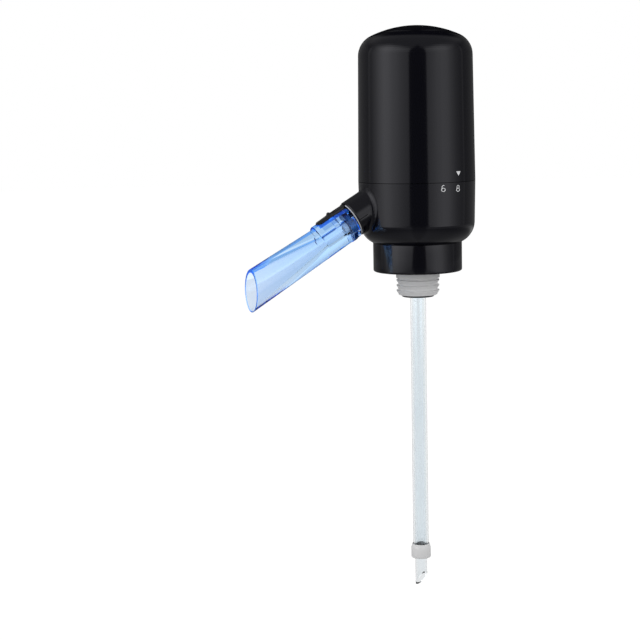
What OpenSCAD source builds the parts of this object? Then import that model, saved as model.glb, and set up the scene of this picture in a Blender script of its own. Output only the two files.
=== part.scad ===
// Electric wine aerator: a pourer in two halves that twist together.
// The lower half plugs into a neck and carries the spout and the dip tube.
// The upper half holds the air pump, the cell, the board and the press button.
// The origin is on the body's axis at the collar's lower edge, and the spout points along -Y.

/* [Body] */
// Largest diameter of the body, at the seam between its halves
body_d = 49; // [47.5:0.5:54]
// Height of the dome's top above the collar's lower edge
body_h = 101.9; // [100.5:0.1:108]
// Height of the seam between the halves
seam_z = 37.8; // [37.4:0.1:39]
// Gap between the halves at the seam
seam_gap = 0.2; // [0.15:0.05:0.6]
// How much the upper half narrows up to its shoulder, on the radius
upper_draft = 0.75; // [0.3:0.05:1.2]
// How much the lower half narrows down to its base, on the radius
lower_draft = 0.35; // [0.1:0.05:0.8]
// Radius of the rounded shoulder
shoulder_r = 9.2; // [8:0.1:10]
// Radius of the domed top
dome_r = 44; // [40:1:60]
// Radius of the rounded base
base_r = 9.5; // [8.5:0.1:10.5]
// Wall of both housings
wall = 1.8; // [1.5:0.1:2.1]

/* [Neck fit] */
// How far the collar's side steps in from the body's
collar_step = 5.8; // [5:0.1:6.5]
// Height of the collar
collar_h = 12.2; // [11.4:0.1:13]
// Wall of the collar
collar_wall = 3.75; // [3.4:0.05:4.2]
// Diameter of the stopper's plain land, a press fit in the neck
stopper_d = 18.4; // [17.6:0.1:19]
// How far the stopper reaches below the collar's edge
stopper_reach = 11; // [8:0.5:16]
// Number of sealing ribs on the stopper's nose
stopper_ribs = 3; // [2:1:4]
// Thickness of the lip gasket
gasket_t = 2; // [1.5:0.1:2.5]

/* [Spout] */
// Tilt of the spout below the horizontal
spout_tilt = 29.5; // [27:0.5:31]
// Height at which the spout's axis leaves the body's side
spout_wall_z = 24.5; // [24:0.1:25]
// Length of the stub along its axis, outside the body
stub_l = 5.65; // [5:0.05:8]
// Diameter of the stub
stub_d = 15.6; // [15:0.1:16.2]
// Fillet at the stub's root
stub_fillet = 1.9; // [1:0.1:2]
// Distance from the spout's axis to the flush underside of stub, ring and tube
keel = 6.4; // [6.2:0.1:6.6]
// Outer diameter of the spout's plug-in ring
ring_d = 14.2; // [13.8:0.1:14.6]
// Length of the plug-in ring
ring_l = 16.3; // [15.5:0.1:19]
// Flare of the spout's tube, gained on the radius per millimetre
tube_flare = 0.0227; // [0.015:0.001:0.03]
// Length of the spout along its axis, from the stub to the mouth's upright cut
spout_l = 52.1; // [45:0.1:65]
// Bore of the throat
throat_d = 4; // [3:0.1:4.6]
// Length of the throat
throat_l = 9.8; // [8.4:0.2:11]
// Wall of the tube at the mouth
mouth_wall = 0.8; // [0.6:0.1:1.2]
// Width of the release tongue
tongue_w = 4.2; // [3.4:0.1:4.6]
// Length of the release tongue beyond the stub
tongue_l = 14; // [12:0.2:14.4]
// Thickness of the release tongue
tongue_t = 1.6; // [1.3:0.1:1.8]

/* [Dip tube] */
// Outer diameter of the upper length
tube_d = 6.6; // [6:0.1:7]
// Wall of each length
tube_wall = 0.7; // [0.6:0.05:0.8]
// Distance of the upper length's foot below the collar's edge
tube_foot = 125; // [60:1:160]
// How far the inner length stands out of the upper one when pushed in
tube_tip = 12; // [9:1:20]
// Travel of the inner length
tube_travel = 100; // [30:1:120]

/* [Power head] */
// Share of the inside width that the pump takes
pump_share = 0.456; // [0.42:0.002:0.47]
// Distance of the board's underside below the dome's top
board_drop = 16.1; // [15.5:0.1:18]
// Diameter of the motor's shaft
shaft_d = 2; // [1.5:0.1:2.2]
// How far the button reaches out past the shoulder's centre line
button_lap = 0.85; // [0:0.05:1.2]
// Travel of the button
button_travel = 0.8; // [0.4:0.1:1]
// Thickness of the circuit board
board_t = 1.6; // [1:0.1:1.8]
// Angle of the twist lock
lock_angle = 18; // [15:1:22]

/* [Fits] */
// Clearance between pieces that lie beside each other
clear = 0.3; // [0.2:0.05:0.35]
// Radial clearance of sliding and turning fits
run = 0.08; // [0.04:0.01:0.1]
// Diameter of the self-tapping screws
screw_d = 2; // [1.8:0.1:2.2]
// Length of the self-tapping screws
screw_l = 8; // [6:0.5:9]

/* [Hidden] */

$fn = 72;
eps = 0.01;
through = 60;

black = "#1c1c1f";
charcoal = "#2b2b2e";
clear_blue = "#7fb4ee";
silicone = "#e9e6e0";
steel = "#b9bcc0";

// Outline of the housings
body_r = body_d / 2;
upper_z = seam_z + seam_gap / 2;
lower_top = seam_z - seam_gap / 2;
shoulder_top_r = body_r - upper_draft;
shoulder_cr = shoulder_top_r - shoulder_r;
dome_cz = body_h - dome_r;
shoulder_cz = dome_cz + sqrt(pow(dome_r - shoulder_r, 2) - pow(shoulder_cr, 2));
shoulder_end = atan2(shoulder_cz - dome_cz, shoulder_cr);
collar_r = body_r - collar_step;
base_top_r = body_r - lower_draft;
base_cr = base_top_r - base_r;
base_cz = collar_h + sqrt(pow(base_r, 2) - pow(collar_r - base_cr, 2));
base_start = -acos((collar_r - base_cr) / base_r);
arc_steps = 14;
dome_end = 89;
inner_r = shoulder_top_r - wall;
lower_inner_r = base_top_r - wall;

// Lower half, from the floor upwards
floor_t = 2;
floor_top = collar_h + floor_t;
disc_t = 2.2;
disc_top = floor_top + disc_t;
deck_t = 2.1;
deck_z = lower_top - deck_t;
collar_ceiling = 1.8;
collar_bore_r = collar_r - collar_wall;
ceiling_z = collar_h - collar_ceiling;
stopper_r = stopper_d / 2;
stopper_land_z = -3;
stopper_wall = 1.8;
stem_r = stopper_r - stopper_wall;
stem_flange_r = stem_r + 1.4;
stem_flange_t = 1.4;
tube_r = tube_d / 2;
stem_top = floor_top + stem_flange_t;
air_bore_r = 0.9;
air_y = stem_r - air_bore_r - 0.9;
valve_r = 1.5;
valve_l = 4;
hose_r = 3;
hose_bore_r = 2;
hose_swell = 0.15;
barb_r = hose_bore_r - 0.05;
barb_bore_r = 1.4;
hose_share = 0.408;
hose_bend = hose_share * body_r;
hose_foot = disc_top + 0.2;
spout_z = spout_wall_z + body_r * tan(spout_tilt);
hose_bend_z = spout_z - hose_bend * ((1 + sin(spout_tilt)) * tan(spout_tilt) + cos(spout_tilt));
hose_bend_end = hose_bend * (1 + sin(spout_tilt)) / cos(spout_tilt);
barb_top = hose_bend_z - 0.6;
base_screw_r = collar_bore_r + collar_wall / 2;
post_r = 2.4;
duct_r = 2.2;
duct_bore_r = 1;
socket_r = 2.75;
socket_z = deck_z - 1.6;
boss_z = deck_z - 2.3;
boss_r = 3.6;

// Twist lock
lock_r = body_r - wall;
ledge_depth = 1.4;
ledge_t = 1.6;
ledge_z = lower_top - 0.75 - ledge_t;
lug_t = 1.6;
lug_gap = 0.25;
lug_z = ledge_z - lug_gap - lug_t;
ring_r = lock_r - ledge_depth - 0.4;
ring_t = 1.5;
lug_r = lock_r - 0.45;
lug_angle = lock_angle - 1;
stop_angle = 3;
lug_count = 3;
deck_r = ring_r - ring_t - 0.5;
post_ring_r = deck_r - post_r - 1;

// Spout and its seat, as distances along the spout's axis and heights over it
stub_r = stub_d / 2;
stub_end = body_r / cos(spout_tilt) + stub_l;
stub_rise = stub_r - keel;
collar_ring_r = ring_d / 2;
ring_rise = collar_ring_r - keel;
washer_t = 0.4;
washer_r = stub_r - 0.35;
washer_wall = 0.65;
ring_start = stub_end + washer_t + 0.1;
ring_end = ring_start + ring_l;
spigot_r = 4.7;
spigot_end = stub_end + 3.3;
spigot_shank_r = 5;
spigot_flange_r = 6.2;
spigot_flange_t = 1.4;
spigot_flange_flat = 4.6;
spigot_shank_s = lower_inner_r / cos(spout_tilt) - spigot_flange_r * tan(spout_tilt) - 0.2;
spigot_flange_s = spigot_shank_s - spigot_flange_t;
seal_r = 2.2;
seal_seat = stub_end + 0.2;
seal_end = spigot_end + 2.2;
spout_socket_end = spigot_end + clear;
seal_pocket_end = seal_end + 0.1;
throat_r = throat_d / 2;
throat_end = seal_pocket_end + throat_l;
tube_root_r = keel + 0.08;
mouth_s = stub_end + spout_l;
mouth_y = mouth_s * cos(spout_tilt);
lip_s = mouth_s + 8;
tube_end_r = tube_root_r + tube_flare * (lip_s - stub_end);
bore_mouth_r = tube_root_r + tube_flare * (mouth_s - stub_end) - mouth_wall;
bore_slope = (bore_mouth_r - throat_r) / (mouth_s - throat_end);
bore_end_r = throat_r + bore_slope * (lip_s - throat_end);
tongue_top = 8.4;
tongue_low = tongue_top - tongue_t;
tongue_root = stub_end - 4.6;
tongue_pivot = stub_end - 3.8;
tongue_end = stub_end + tongue_l;
slot_floor = tongue_low - 1.3;
slot_end = tongue_end + 0.5;
slot_w = tongue_w + 2 * clear;
pocket_low = tongue_low - 0.4;
ridge_s = stub_end + 7.1;
inlet_s = seal_pocket_end + 0.5;
inlet_l = 2.4;
inlet_w = 1.8;
notch_l = 1.5;
notches = [[45, 34], [-39, 28]];
foot_s = ring_start + 1.8;
foot_l = 2.6;
foot_h = 0.35;
parting_l = 0.85 * stub_l;
parting_w = 0.2;
parting_depth = 0.15;

// Telescopic tube
inner_tube_r = tube_r - tube_wall - run;
outer_top = ceiling_z + 1.5;
tip_z = -tube_foot - tube_tip;
inner_top = -tube_foot + tube_travel + 22;
inner_len = inner_top - tip_z;
gland_l = 6;
gland_wall = 0.9;

// Power head, from its frame upwards
plate_t = 2.5;
plate_top = upper_z + plate_t;
plate_r = lock_r - clear;
duct_ridge_h = 3;
duct_ridge_w = 6;
duct_ridge_top = plate_top + duct_ridge_h;
pump_r = pump_share * inner_r;
cradle_t = 1.2;
cradle_h = 15;
pump_y = -(inner_r - pump_r - cradle_t - 2 * clear);
pack_gap = 4.85;
tab_t = 0.3;
cell_r = inner_r - pump_r - pack_gap;
cell_y = inner_r - cell_r - cradle_t - 2 * clear - 4 * tab_t;
cell_z = plate_top + tab_t;
cover_t = 4.6;
valve_plate_t = 1.6;
diaphragm_t = 0.8;
drive_h = 11.2;
valve_plate_z = duct_ridge_top + cover_t;
diaphragm_z = valve_plate_z + valve_plate_t;
drive_z = diaphragm_z + diaphragm_t;
can_z = drive_z + drive_h;
can_r = pump_r + 0.05;
can_flat = 1.51 * pump_r;
cap_t = 2.2;
terminal_h = 1;
board_gap = 2;
board_z = body_h - board_drop;
board_top = board_z + board_t;
cell_l = board_z - board_gap - cell_z;
can_l = board_z - board_gap - terminal_h - cap_t - can_z;
cap_z = can_z + can_l;
cap_top = cap_z + cap_t;
board_r = inner_r - 2.2;
cup_ring_r = 0.5 * pump_r;
cup_r = 0.31 * pump_r;
cup_h = 3.6;
cup_wall = 0.6;
cup_stem_r = 0.8;
cup_stem_h = 2.2;
wobble_z = drive_z + cup_h + 0.6;
wobble_t = 1.4;
hub_z = wobble_z + wobble_t + 0.8;
hub_top = can_z - 1.8;
hub_r = 0.44 * pump_r;
crank_throw = 0.5;
crank_pin_r = 0.6;
shaft_r = shaft_d / 2;
pump_screw_ring = pump_r - 1.7;
pump_screw_r = 0.8;
spigot_tube_r = 2.2;
spigot_bore_r = 0.9;
spigot_tube_z = socket_z + 0.6;
seal_ring_z = (spigot_tube_z + lower_top) / 2;
seal_cord_r = 0.5;
boss_ring_r = ring_r - ring_t - 2.2;
housing_boss_r = 2.6;
housing_boss_h = 13;
housing_boss_angles = [-24, 43, 137, 204];
pillar_ring_r = inner_r - 5.35;
pillar_r = 2.4;
pillar_angles = [7, 173];

// Button, switch and charging socket
button_r = shoulder_cr + button_lap;
button_gap = 0.25;
button_t = 1.6;
guide_t = 1.3;
guide_z = body_h - 6.1;
hook_depth = 0.95;
hook_t = 1.2;
hook_z = guide_z - 0.2 - hook_t;
skirt_t = 1.2;
skirt_z = guide_z + 0.7;
switch_w = 6;
switch_h = 3.5;
plunger_r = 1.7;
plunger_h = 1.6;
plunger_seat = board_top + 1.2;
plunger_z = plunger_seat + button_travel + 0.2;
plunger_top = board_top + switch_h + plunger_h;
usb_w = 8.94;
usb_h = 3.26;
usb_l = 7.35;
usb_wall = 0.3;
usb_z = board_top + usb_h / 2;
usb_mouth = shoulder_top_r - wall + 0.5;
light_x = 7.8;
light_r = 1;
light_z = usb_z;

// Points of an arc, both ends included
function arc(cr, cz, r, from, to) =
    [for (i = [0 : arc_steps]) let (a = from + (to - from) * i / arc_steps) [cr + r * cos(a), cz + r * sin(a)]];

// Outline of the upper half, drawn in by an inset
function upper_outline(inset, foot) = concat(
    [[0, foot], [body_r - inset, foot]],
    arc(shoulder_cr, shoulder_cz, shoulder_r - inset, 0, shoulder_end),
    arc(0, dome_cz, dome_r - inset, shoulder_end + 1, dome_end),
    [[0, dome_cz + (dome_r - inset) * sin(dome_end)]]);

// Outline of the lower half's outside
lower_outline = concat(
    [[0, collar_h]],
    arc(base_cr, base_cz, base_r, base_start, 0),
    [[body_r, lower_top], [0, lower_top]]);

// Outline of the lower half's cavity, above its floor
cavity_start = -asin((base_cz - floor_top) / (base_r - wall));
cavity_outline = concat(
    [[0, floor_top]],
    arc(base_cr, base_cz, base_r - wall, cavity_start, 0),
    [[body_r - wall, lower_top], [body_r - wall, seam_z + 4], [0, seam_z + 4]]);

// Radius of the lower half's outside at a height
function lower_radius(z) = z > base_cz
    ? base_top_r + (body_r - base_top_r) * (z - base_cz) / (lower_top - base_cz)
    : base_cr + sqrt(max(base_r * base_r - pow(base_cz - z, 2), 0));

// Point on a cylinder round the stub's axis
function stub_point(r, s, a) = let (w = stub_rise + r * sin(a))
    [r * cos(a), -s * cos(spout_tilt) - w * sin(spout_tilt), spout_z - s * sin(spout_tilt) + w * cos(spout_tilt)];

// Distance along the stub at which such a line passes the body's outside
function stub_meets(r, a, near = 8, far = 46, steps = 24) =
    let (mid = (near + far) / 2, p = stub_point(r, mid, a))
    steps == 0 ? mid
    : norm([p.x, p.y]) > lower_radius(p.z) ? stub_meets(r, a, near, mid, steps - 1)
    : stub_meets(r, a, mid, far, steps - 1);

// Point moved towards the body's axis
function inward(p, d) = let (k = 1 - d / norm([p.x, p.y])) [k * p.x, k * p.y, p.z];

// One section of the root fillet: a curve from the stub to the body, closed inside the walls
fillet_steps = 6;
fillet_sides = 40;
fillet_depth = 0.8;
fillet_lift = 0.05;
function fillet_section(a) = let (
    core_r = stub_r - fillet_depth,
    corner_s = stub_meets(stub_r, a),
    on_stub = stub_point(stub_r + fillet_lift, corner_s + stub_fillet, a),
    corner = stub_point(stub_r, corner_s, a),
    wide_r = stub_r + stub_fillet,
    on_body = inward(stub_point(wide_r, stub_meets(wide_r, a), a), -fillet_lift))
    concat(
        [stub_point(core_r, corner_s + stub_fillet, a)],
        [for (i = [0 : fillet_steps]) let (u = i / fillet_steps)
            pow(1 - u, 2) * on_stub + 2 * u * (1 - u) * corner + u * u * on_body],
        [inward(on_body, fillet_depth), inward(stub_point(core_r, stub_meets(core_r, a), a), fillet_depth)]);

module stub_root_fillet() {
    sections = [for (i = [0 : fillet_sides - 1]) fillet_section(360 * i / fillet_sides)];
    n = len(sections[0]);
    faces = [for (i = [0 : fillet_sides - 1], j = [0 : n - 1]) let (
            k = (i + 1) % fillet_sides,
            m = (j + 1) % n)
        each [[i * n + j, k * n + j, i * n + m], [k * n + j, k * n + m, i * n + m]]];
    polyhedron([for (s = sections) each s], faces);
}

// Places its children on the spout's axis: Z along it, Y upwards, raised by rise
module along_spout(rise = 0) {
    translate([0, 0, spout_z])
        rotate([90 + spout_tilt, 0, 0])
            translate([0, rise, 0])
                children();
}

// Solid of revolution from a list of points
module revolve(points) {
    rotate_extrude()
        polygon(points);
}

// Tube between two heights
module tube(outer, inner, low, high) {
    difference() {
        translate([0, 0, low])
            cylinder(r = outer, h = high - low);
        translate([0, 0, low - 1])
            cylinder(r = inner, h = high - low + 2);
    }
}

// Part of a ring, centred on an angle
module ring_sector(outer, inner, low, high, middle, span) {
    rotate([0, 0, middle - span / 2])
        rotate_extrude(angle = span)
            translate([inner, low])
                square([outer - inner, high - low]);
}

// Copies its children round the axis
module around(angles, r) {
    for (a = angles)
        rotate([0, 0, a])
            translate([r, 0, 0])
                children();
}

// Pan-head screw: head on the plane z = 0, shank below it, cross recess in the head
module pan_screw(r, length) {
    head_r = 1.8 * r;
    head_h = 1.2 * r;
    difference() {
        union() {
            translate([0, 0, -length])
                cylinder(r = r, h = length + eps);
            cylinder(r = head_r, h = head_h);
        }
        for (a = [0, 90])
            rotate([0, 0, a])
                translate([-r, -r / 6, head_h / 2])
                    cube([2 * r, r / 3, head_h]);
    }
}

// Countersunk screw: head flush with the plane z = 0
module flush_screw(r, length) {
    difference() {
        revolve([[0, -length], [r, -length], [r, -0.9 * r], [1.8 * r, 0], [0, 0]]);
        for (a = [0, 90])
            rotate([0, 0, a])
                translate([-r, -r / 6, -r / 2])
                    cube([2 * r, r / 3, r]);
    }
}

// Hole for a countersunk screw whose head is flush with the plane z = 0
module flush_hole(r, length) {
    revolve([[0, -length], [r + clear / 3, -length], [r + clear / 3, -0.9 * r],
        [1.8 * r + clear / 3, 0], [1.8 * r + clear / 3, 1], [0, 1]]);
}

// Flat slot with round ends, lying across X
module slot_outline(w, h) {
    square([w - h, h], center = true);
    for (x = [-1, 1])
        translate([x * (w - h) / 2, 0])
            circle(d = h);
}

screw_r = screw_d / 2;
screw_grip = 0.03;
base_screw_angles = [30, 150, 270];
post_angles = [90, 210, 330];
lock_angles = [for (i = [0 : lug_count - 1]) 60 + 360 * i / lug_count];
pump_angles = [for (i = [0 : 2]) 90 + 120 * i];
pump_screw_angles = [for (i = [0 : 2]) 30 + 120 * i];

// Fine groove along both sides of the stub, where the tool's halves part
module stub_parting() {
    along_spout(stub_rise)
        translate([0, 0, stub_end - parting_l])
            difference() {
                translate([-through / 2, -parting_w / 2, 0])
                    cube([through, parting_w, parting_l + 1]);
                translate([0, 0, -1])
                    cylinder(r = stub_r - parting_depth, h = parting_l + 3);
            }
}

// Black cup with the slanted stub, the tongue's pocket and the lock ledges
module lower_housing() color(black) {
    pocket_high = tongue_top + clear;
    difference() {
        union() {
            revolve(lower_outline);
            along_spout(stub_rise)
                revolve([[0, 15], [stub_r, 15], [stub_r, stub_end - 0.6], [stub_r - 0.4, stub_end], [0, stub_end]]);
            stub_root_fillet();
        }
        revolve(cavity_outline);
        translate([0, 0, collar_h - 1])
            cylinder(r = stem_r + clear, h = floor_t + 2);
        around(base_screw_angles, base_screw_r)
            translate([0, 0, collar_h - 1])
                cylinder(r = screw_r + clear / 3, h = floor_t + 2);
        along_spout()
            translate([0, 0, 15])
                cylinder(r = spigot_shank_r, h = 30);
        along_spout()
            translate([-slot_w / 2, pocket_low, tongue_root - clear])
                cube([slot_w, pocket_high - pocket_low, 10]);
        stub_parting();
    }
    for (a = lock_angles) {
        ring_sector(lock_r + wall / 2, lock_r - ledge_depth, ledge_z, ledge_z + ledge_t, a, lock_angle);
        ring_sector(lock_r + wall / 2, lock_r - ledge_depth, lug_z, ledge_z + ledge_t,
            a + lock_angle / 2 + stop_angle / 2 + 0.6, stop_angle);
    }
}

// Black ring that goes round the neck, with a ceiling under the lower housing
module bottle_collar() color(black) {
    edge = 0.7;
    mouth_edge = 1;
    difference() {
        revolve([
            [stem_r + clear, ceiling_z], [collar_bore_r, ceiling_z], [collar_bore_r, mouth_edge],
            [collar_bore_r + mouth_edge, 0], [collar_r - edge, 0], [collar_r - 0.2 * edge, 0.3 * edge],
            [collar_r, edge], [collar_r, collar_h], [stem_r + clear, collar_h]]);
        around(base_screw_angles, base_screw_r)
            translate([0, 0, disc_top - screw_l - 4.5])
                cylinder(r = screw_r + screw_grip, h = through);
    }
}

// Floor plate, with three posts for the deck
module base_disc() color(charcoal) {
    disc_r = base_cr + sqrt(pow(base_r - wall, 2) - pow(base_cz - floor_top, 2)) - clear;
    rib_h = 9;
    difference() {
        union() {
            translate([0, 0, floor_top])
                cylinder(r = disc_r, h = disc_t);
            around(post_angles, post_ring_r) {
                translate([0, 0, disc_top - eps])
                    cylinder(r = post_r, h = deck_z - disc_top + eps);
                translate([-post_r - 3, -0.6, disc_top - eps])
                    cube([post_r + 3, 1.2, rib_h]);
            }
        }
        translate([0, 0, floor_top - 1])
            cylinder(r = stem_flange_r + clear / 2, h = stem_flange_t + 1 + clear / 3);
        translate([0, 0, floor_top])
            cylinder(r = barb_r + clear, h = disc_t + 1);
        translate([0, air_y, floor_top])
            cylinder(r = duct_r + clear / 3, h = disc_t + 1);
        around(base_screw_angles, base_screw_r)
            translate([0, 0, floor_top - 1])
                cylinder(r = screw_r + clear / 3, h = disc_t + 2);
        around(post_angles, post_ring_r)
            translate([0, 0, deck_z - screw_l - 1])
                cylinder(r = screw_r + screw_grip, h = screw_l + 2);
    }
}

// Hollow stem through floor and collar, with the hose barb on top
module neck_stem() color(charcoal) {
    difference() {
        union() {
            revolve([[0, -stopper_reach], [stem_r - 0.8, -stopper_reach], [stem_r, -stopper_reach + 1],
                [stem_r, floor_top], [stem_flange_r, floor_top], [stem_flange_r, stem_top], [0, stem_top]]);
            revolve([[0, stem_top - eps], [barb_r, stem_top - eps], [barb_r, barb_top - 1],
                [barb_r - 0.3, barb_top], [0, barb_top]]);
        }
        translate([0, 0, -stopper_reach - 1])
            cylinder(r = barb_bore_r, h = through);
        translate([0, 0, -stopper_reach - 1])
            cylinder(r = tube_r + 0.05, h = outer_top + stopper_reach + 1);
        translate([0, air_y, -stopper_reach - 1])
            cylinder(r = air_bore_r, h = through);
        translate([0, air_y, stem_top - valve_l])
            cylinder(r = valve_r + 0.05, h = valve_l + 1);
    }
}

// Silicone plug: a plain land with a press fit and ribs on the nose
module bottle_stopper() color(silicone) {
    land_top = ceiling_z - gasket_t - 0.1;
    root_r = stopper_r - 0.9;
    nose_z = -stopper_reach + 1.4;
    pitch = (stopper_land_z - nose_z) / stopper_ribs;
    ribs = [for (i = [0 : stopper_ribs - 1]) let (z = nose_z + pitch * i)
        each [[root_r, z], [stopper_r - 0.1, z + pitch * 0.55], [root_r, z + pitch * 0.75]]];
    revolve(concat(
        [[stem_r + 0.05, land_top], [stem_r + 0.05, nose_z - 0.6], [stem_r + 0.5, nose_z - 0.6]],
        ribs,
        [[root_r, stopper_land_z], [stopper_r, stopper_land_z], [stopper_r, land_top]]));
}

// Flat washer under the collar's ceiling, with a raised lip that seals on the neck's rim
module lip_gasket() color(silicone) {
    outer = collar_bore_r - clear;
    revolve([[stem_r + clear, ceiling_z - gasket_t], [stopper_r + 1.4, ceiling_z - gasket_t],
        [stopper_r + 2, ceiling_z - gasket_t - 0.5], [stopper_r + 2.6, ceiling_z - gasket_t],
        [outer, ceiling_z - gasket_t], [outer, ceiling_z], [stem_r + clear, ceiling_z]]);
}

// Three screws that clamp floor plate and housing to the collar
module base_screws() color(steel) {
    around(base_screw_angles, base_screw_r)
        translate([0, 0, disc_top])
            pan_screw(screw_r, screw_l + 3);
}

// Silicone duckbill in the top of the air hole
module air_check_valve() color("#d8d2c8") {
    bill_r = air_bore_r + 0.3;
    flange_t = 1;
    translate([0, air_y, stem_top])
        difference() {
            union() {
                translate([0, 0, -flange_t])
                    cylinder(r = valve_r, h = flange_t);
                intersection() {
                    translate([0, 0, -valve_l + 0.2])
                        cylinder(r = bill_r, h = valve_l - 0.4);
                    rotate([90, 0, 0])
                        translate([0, 0, -bill_r])
                            linear_extrude(2 * bill_r)
                                polygon([[-bill_r, 0], [-bill_r, -1.6], [-0.35, -valve_l], [0.35, -valve_l],
                                    [bill_r, -1.6], [bill_r, 0]]);
                }
            }
            translate([0, 0, -2])
                cylinder(r = air_bore_r - 0.2, h = 3);
            translate([-0.06, -0.6, -valve_l])
                cube([0.12, 1.2, valve_l]);
        }
}

// Hose from the stem's barb, over a bend and down to the spigot's barb, swollen where it grips them
module wine_hose() color("#c9d3da") {
    difference() {
        hose_path(hose_r, hose_r + hose_swell, 0);
        hose_path(hose_bore_r - hose_swell, hose_bore_r, 1);
    }
}

// The hose's course as a solid: a bend and two straight ends, each end longer by over
module hose_path(bend_r, end_r, over) {
    lap = 0.4;
    hose_end = spigot_flange_s - 0.2;
    translate([0, 0, hose_foot - over])
        cylinder(r = end_r, h = hose_bend_z + lap - hose_foot + over);
    translate([0, -hose_bend, hose_bend_z])
        rotate([90, 0, 90])
            rotate_extrude(angle = 90 + spout_tilt)
                translate([hose_bend, 0])
                    circle(r = bend_r);
    along_spout()
        translate([0, 0, hose_bend_end - lap])
            cylinder(r = end_r, h = hose_end - hose_bend_end + lap + over);
}

// Black insert in the stub: flange with a flat and barb inside, spigot for the spout outside
module spout_spigot() color(black) {
    barb_s = hose_bend_end + 0.1;
    along_spout()
        difference() {
            union() {
                revolve([
                    [0, barb_s], [barb_r, barb_s], [barb_r, spigot_flange_s], [spigot_shank_r - 0.05, spigot_flange_s],
                    [spigot_shank_r - 0.05, stub_end], [spigot_r, stub_end], [spigot_r, spigot_end - 0.4],
                    [spigot_r - 0.4, spigot_end], [0, spigot_end]]);
                intersection() {
                    translate([0, 0, spigot_flange_s + 0.1])
                        cylinder(r = spigot_flange_r, h = spigot_flange_t - 0.1);
                    translate([-through / 2, spigot_flange_flat - through, 0])
                        cube([through, through, through]);
                }
            }
            translate([0, 0, barb_s - 1])
                cylinder(r = barb_bore_r, h = through);
            translate([0, 0, seal_seat])
                cylinder(r = seal_r + 0.05, h = 10);
        }
}

// Pale ring that seals the spigot to the throat
module nozzle_seal() color(silicone) {
    along_spout()
        difference() {
            revolve([[0, seal_seat], [seal_r, seal_seat], [seal_r, seal_end - 0.5], [seal_r - 0.4, seal_end], [0, seal_end]]);
            translate([0, 0, seal_seat - 1])
                cylinder(r = barb_bore_r, h = 10);
        }
}

// Pale thin ring between the stub's end and the spout, open at the tongue
module stub_gasket() color(silicone) {
    washer_in = washer_r - washer_wall;
    difference() {
        along_spout(stub_rise)
            revolve([[washer_in, stub_end], [washer_r, stub_end], [washer_r, stub_end + washer_t],
                [washer_in, stub_end + washer_t]]);
        along_spout()
            translate([-slot_w / 2, pocket_low, stub_end - 1])
                cube([slot_w, through, washer_t + 2]);
    }
}

// Lid of the lower half: air socket on the axis, air way across, duct down to the stem
module lower_deck() color(charcoal) {
    way_z = socket_z + 0.4;
    difference() {
        union() {
            translate([0, 0, deck_z])
                cylinder(r = deck_r, h = deck_t);
            translate([0, 0, boss_z])
                cylinder(r = boss_r, h = deck_z - boss_z + eps);
            translate([-duct_r, 0, boss_z])
                cube([2 * duct_r, air_y, deck_z - boss_z + eps]);
            translate([0, air_y, stem_top + clear])
                cylinder(r = duct_r, h = deck_z - stem_top - clear + eps);
        }
        translate([0, 0, socket_z])
            cylinder(r = socket_r, h = through);
        translate([0, 0, way_z])
            rotate([-90, 0, 0])
                cylinder(r = duct_bore_r * 0.9, h = air_y);
        translate([0, air_y, 0])
            cylinder(r = duct_bore_r, h = way_z + duct_bore_r * 0.9);
        around(post_angles, post_ring_r)
            translate([0, 0, lower_top])
                flush_hole(screw_r, deck_t + 1);
    }
}

// Three countersunk screws through the deck into the posts
module deck_screws() color(steel) {
    around(post_angles, post_ring_r)
        translate([0, 0, lower_top])
            flush_screw(screw_r, screw_l);
}

// Upper length of the telescopic tube, pushed up into the stem
module outer_dip_tube() color("#dfe6ea") {
    tube(tube_r, tube_r - tube_wall, -tube_foot, outer_top - 0.2);
}

// Soft ring on the foot of the upper length
module tube_gland() color(silicone) {
    revolve([[tube_r + 0.05, -tube_foot], [tube_r + gland_wall - 0.4, -tube_foot], [tube_r + gland_wall, -tube_foot + 0.5],
        [tube_r + gland_wall, -tube_foot + gland_l - 1.5], [tube_r + 0.5, -tube_foot + gland_l],
        [tube_r + 0.05, -tube_foot + gland_l]]);
}

// Sprung tongue with a round root bead, a thumb ridge and a bevelled tip
module release_tongue() color(black) {
    ridge_h = 0.6;
    bead_r = tongue_t / 2 + 0.2;
    along_spout()
        translate([-tongue_w / 2, tongue_top - tongue_t / 2, tongue_pivot])
            rotate([0, 90, 0])
                cylinder(r = bead_r, h = tongue_w);
    along_spout()
        rotate([0, -90, 0])
            translate([0, 0, -tongue_w / 2])
                linear_extrude(tongue_w)
                    polygon([[tongue_root, tongue_low], [tongue_end - 2.2, tongue_low + 0.2], [tongue_end, tongue_low + 0.7],
                        [tongue_end - 0.6, tongue_top - 0.3], [ridge_s + 0.9, tongue_top - 0.1],
                        [ridge_s + 0.5, tongue_top + ridge_h], [ridge_s - 0.5, tongue_top + ridge_h],
                        [ridge_s - 0.9, tongue_top], [tongue_root, tongue_top]]);
}

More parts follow.
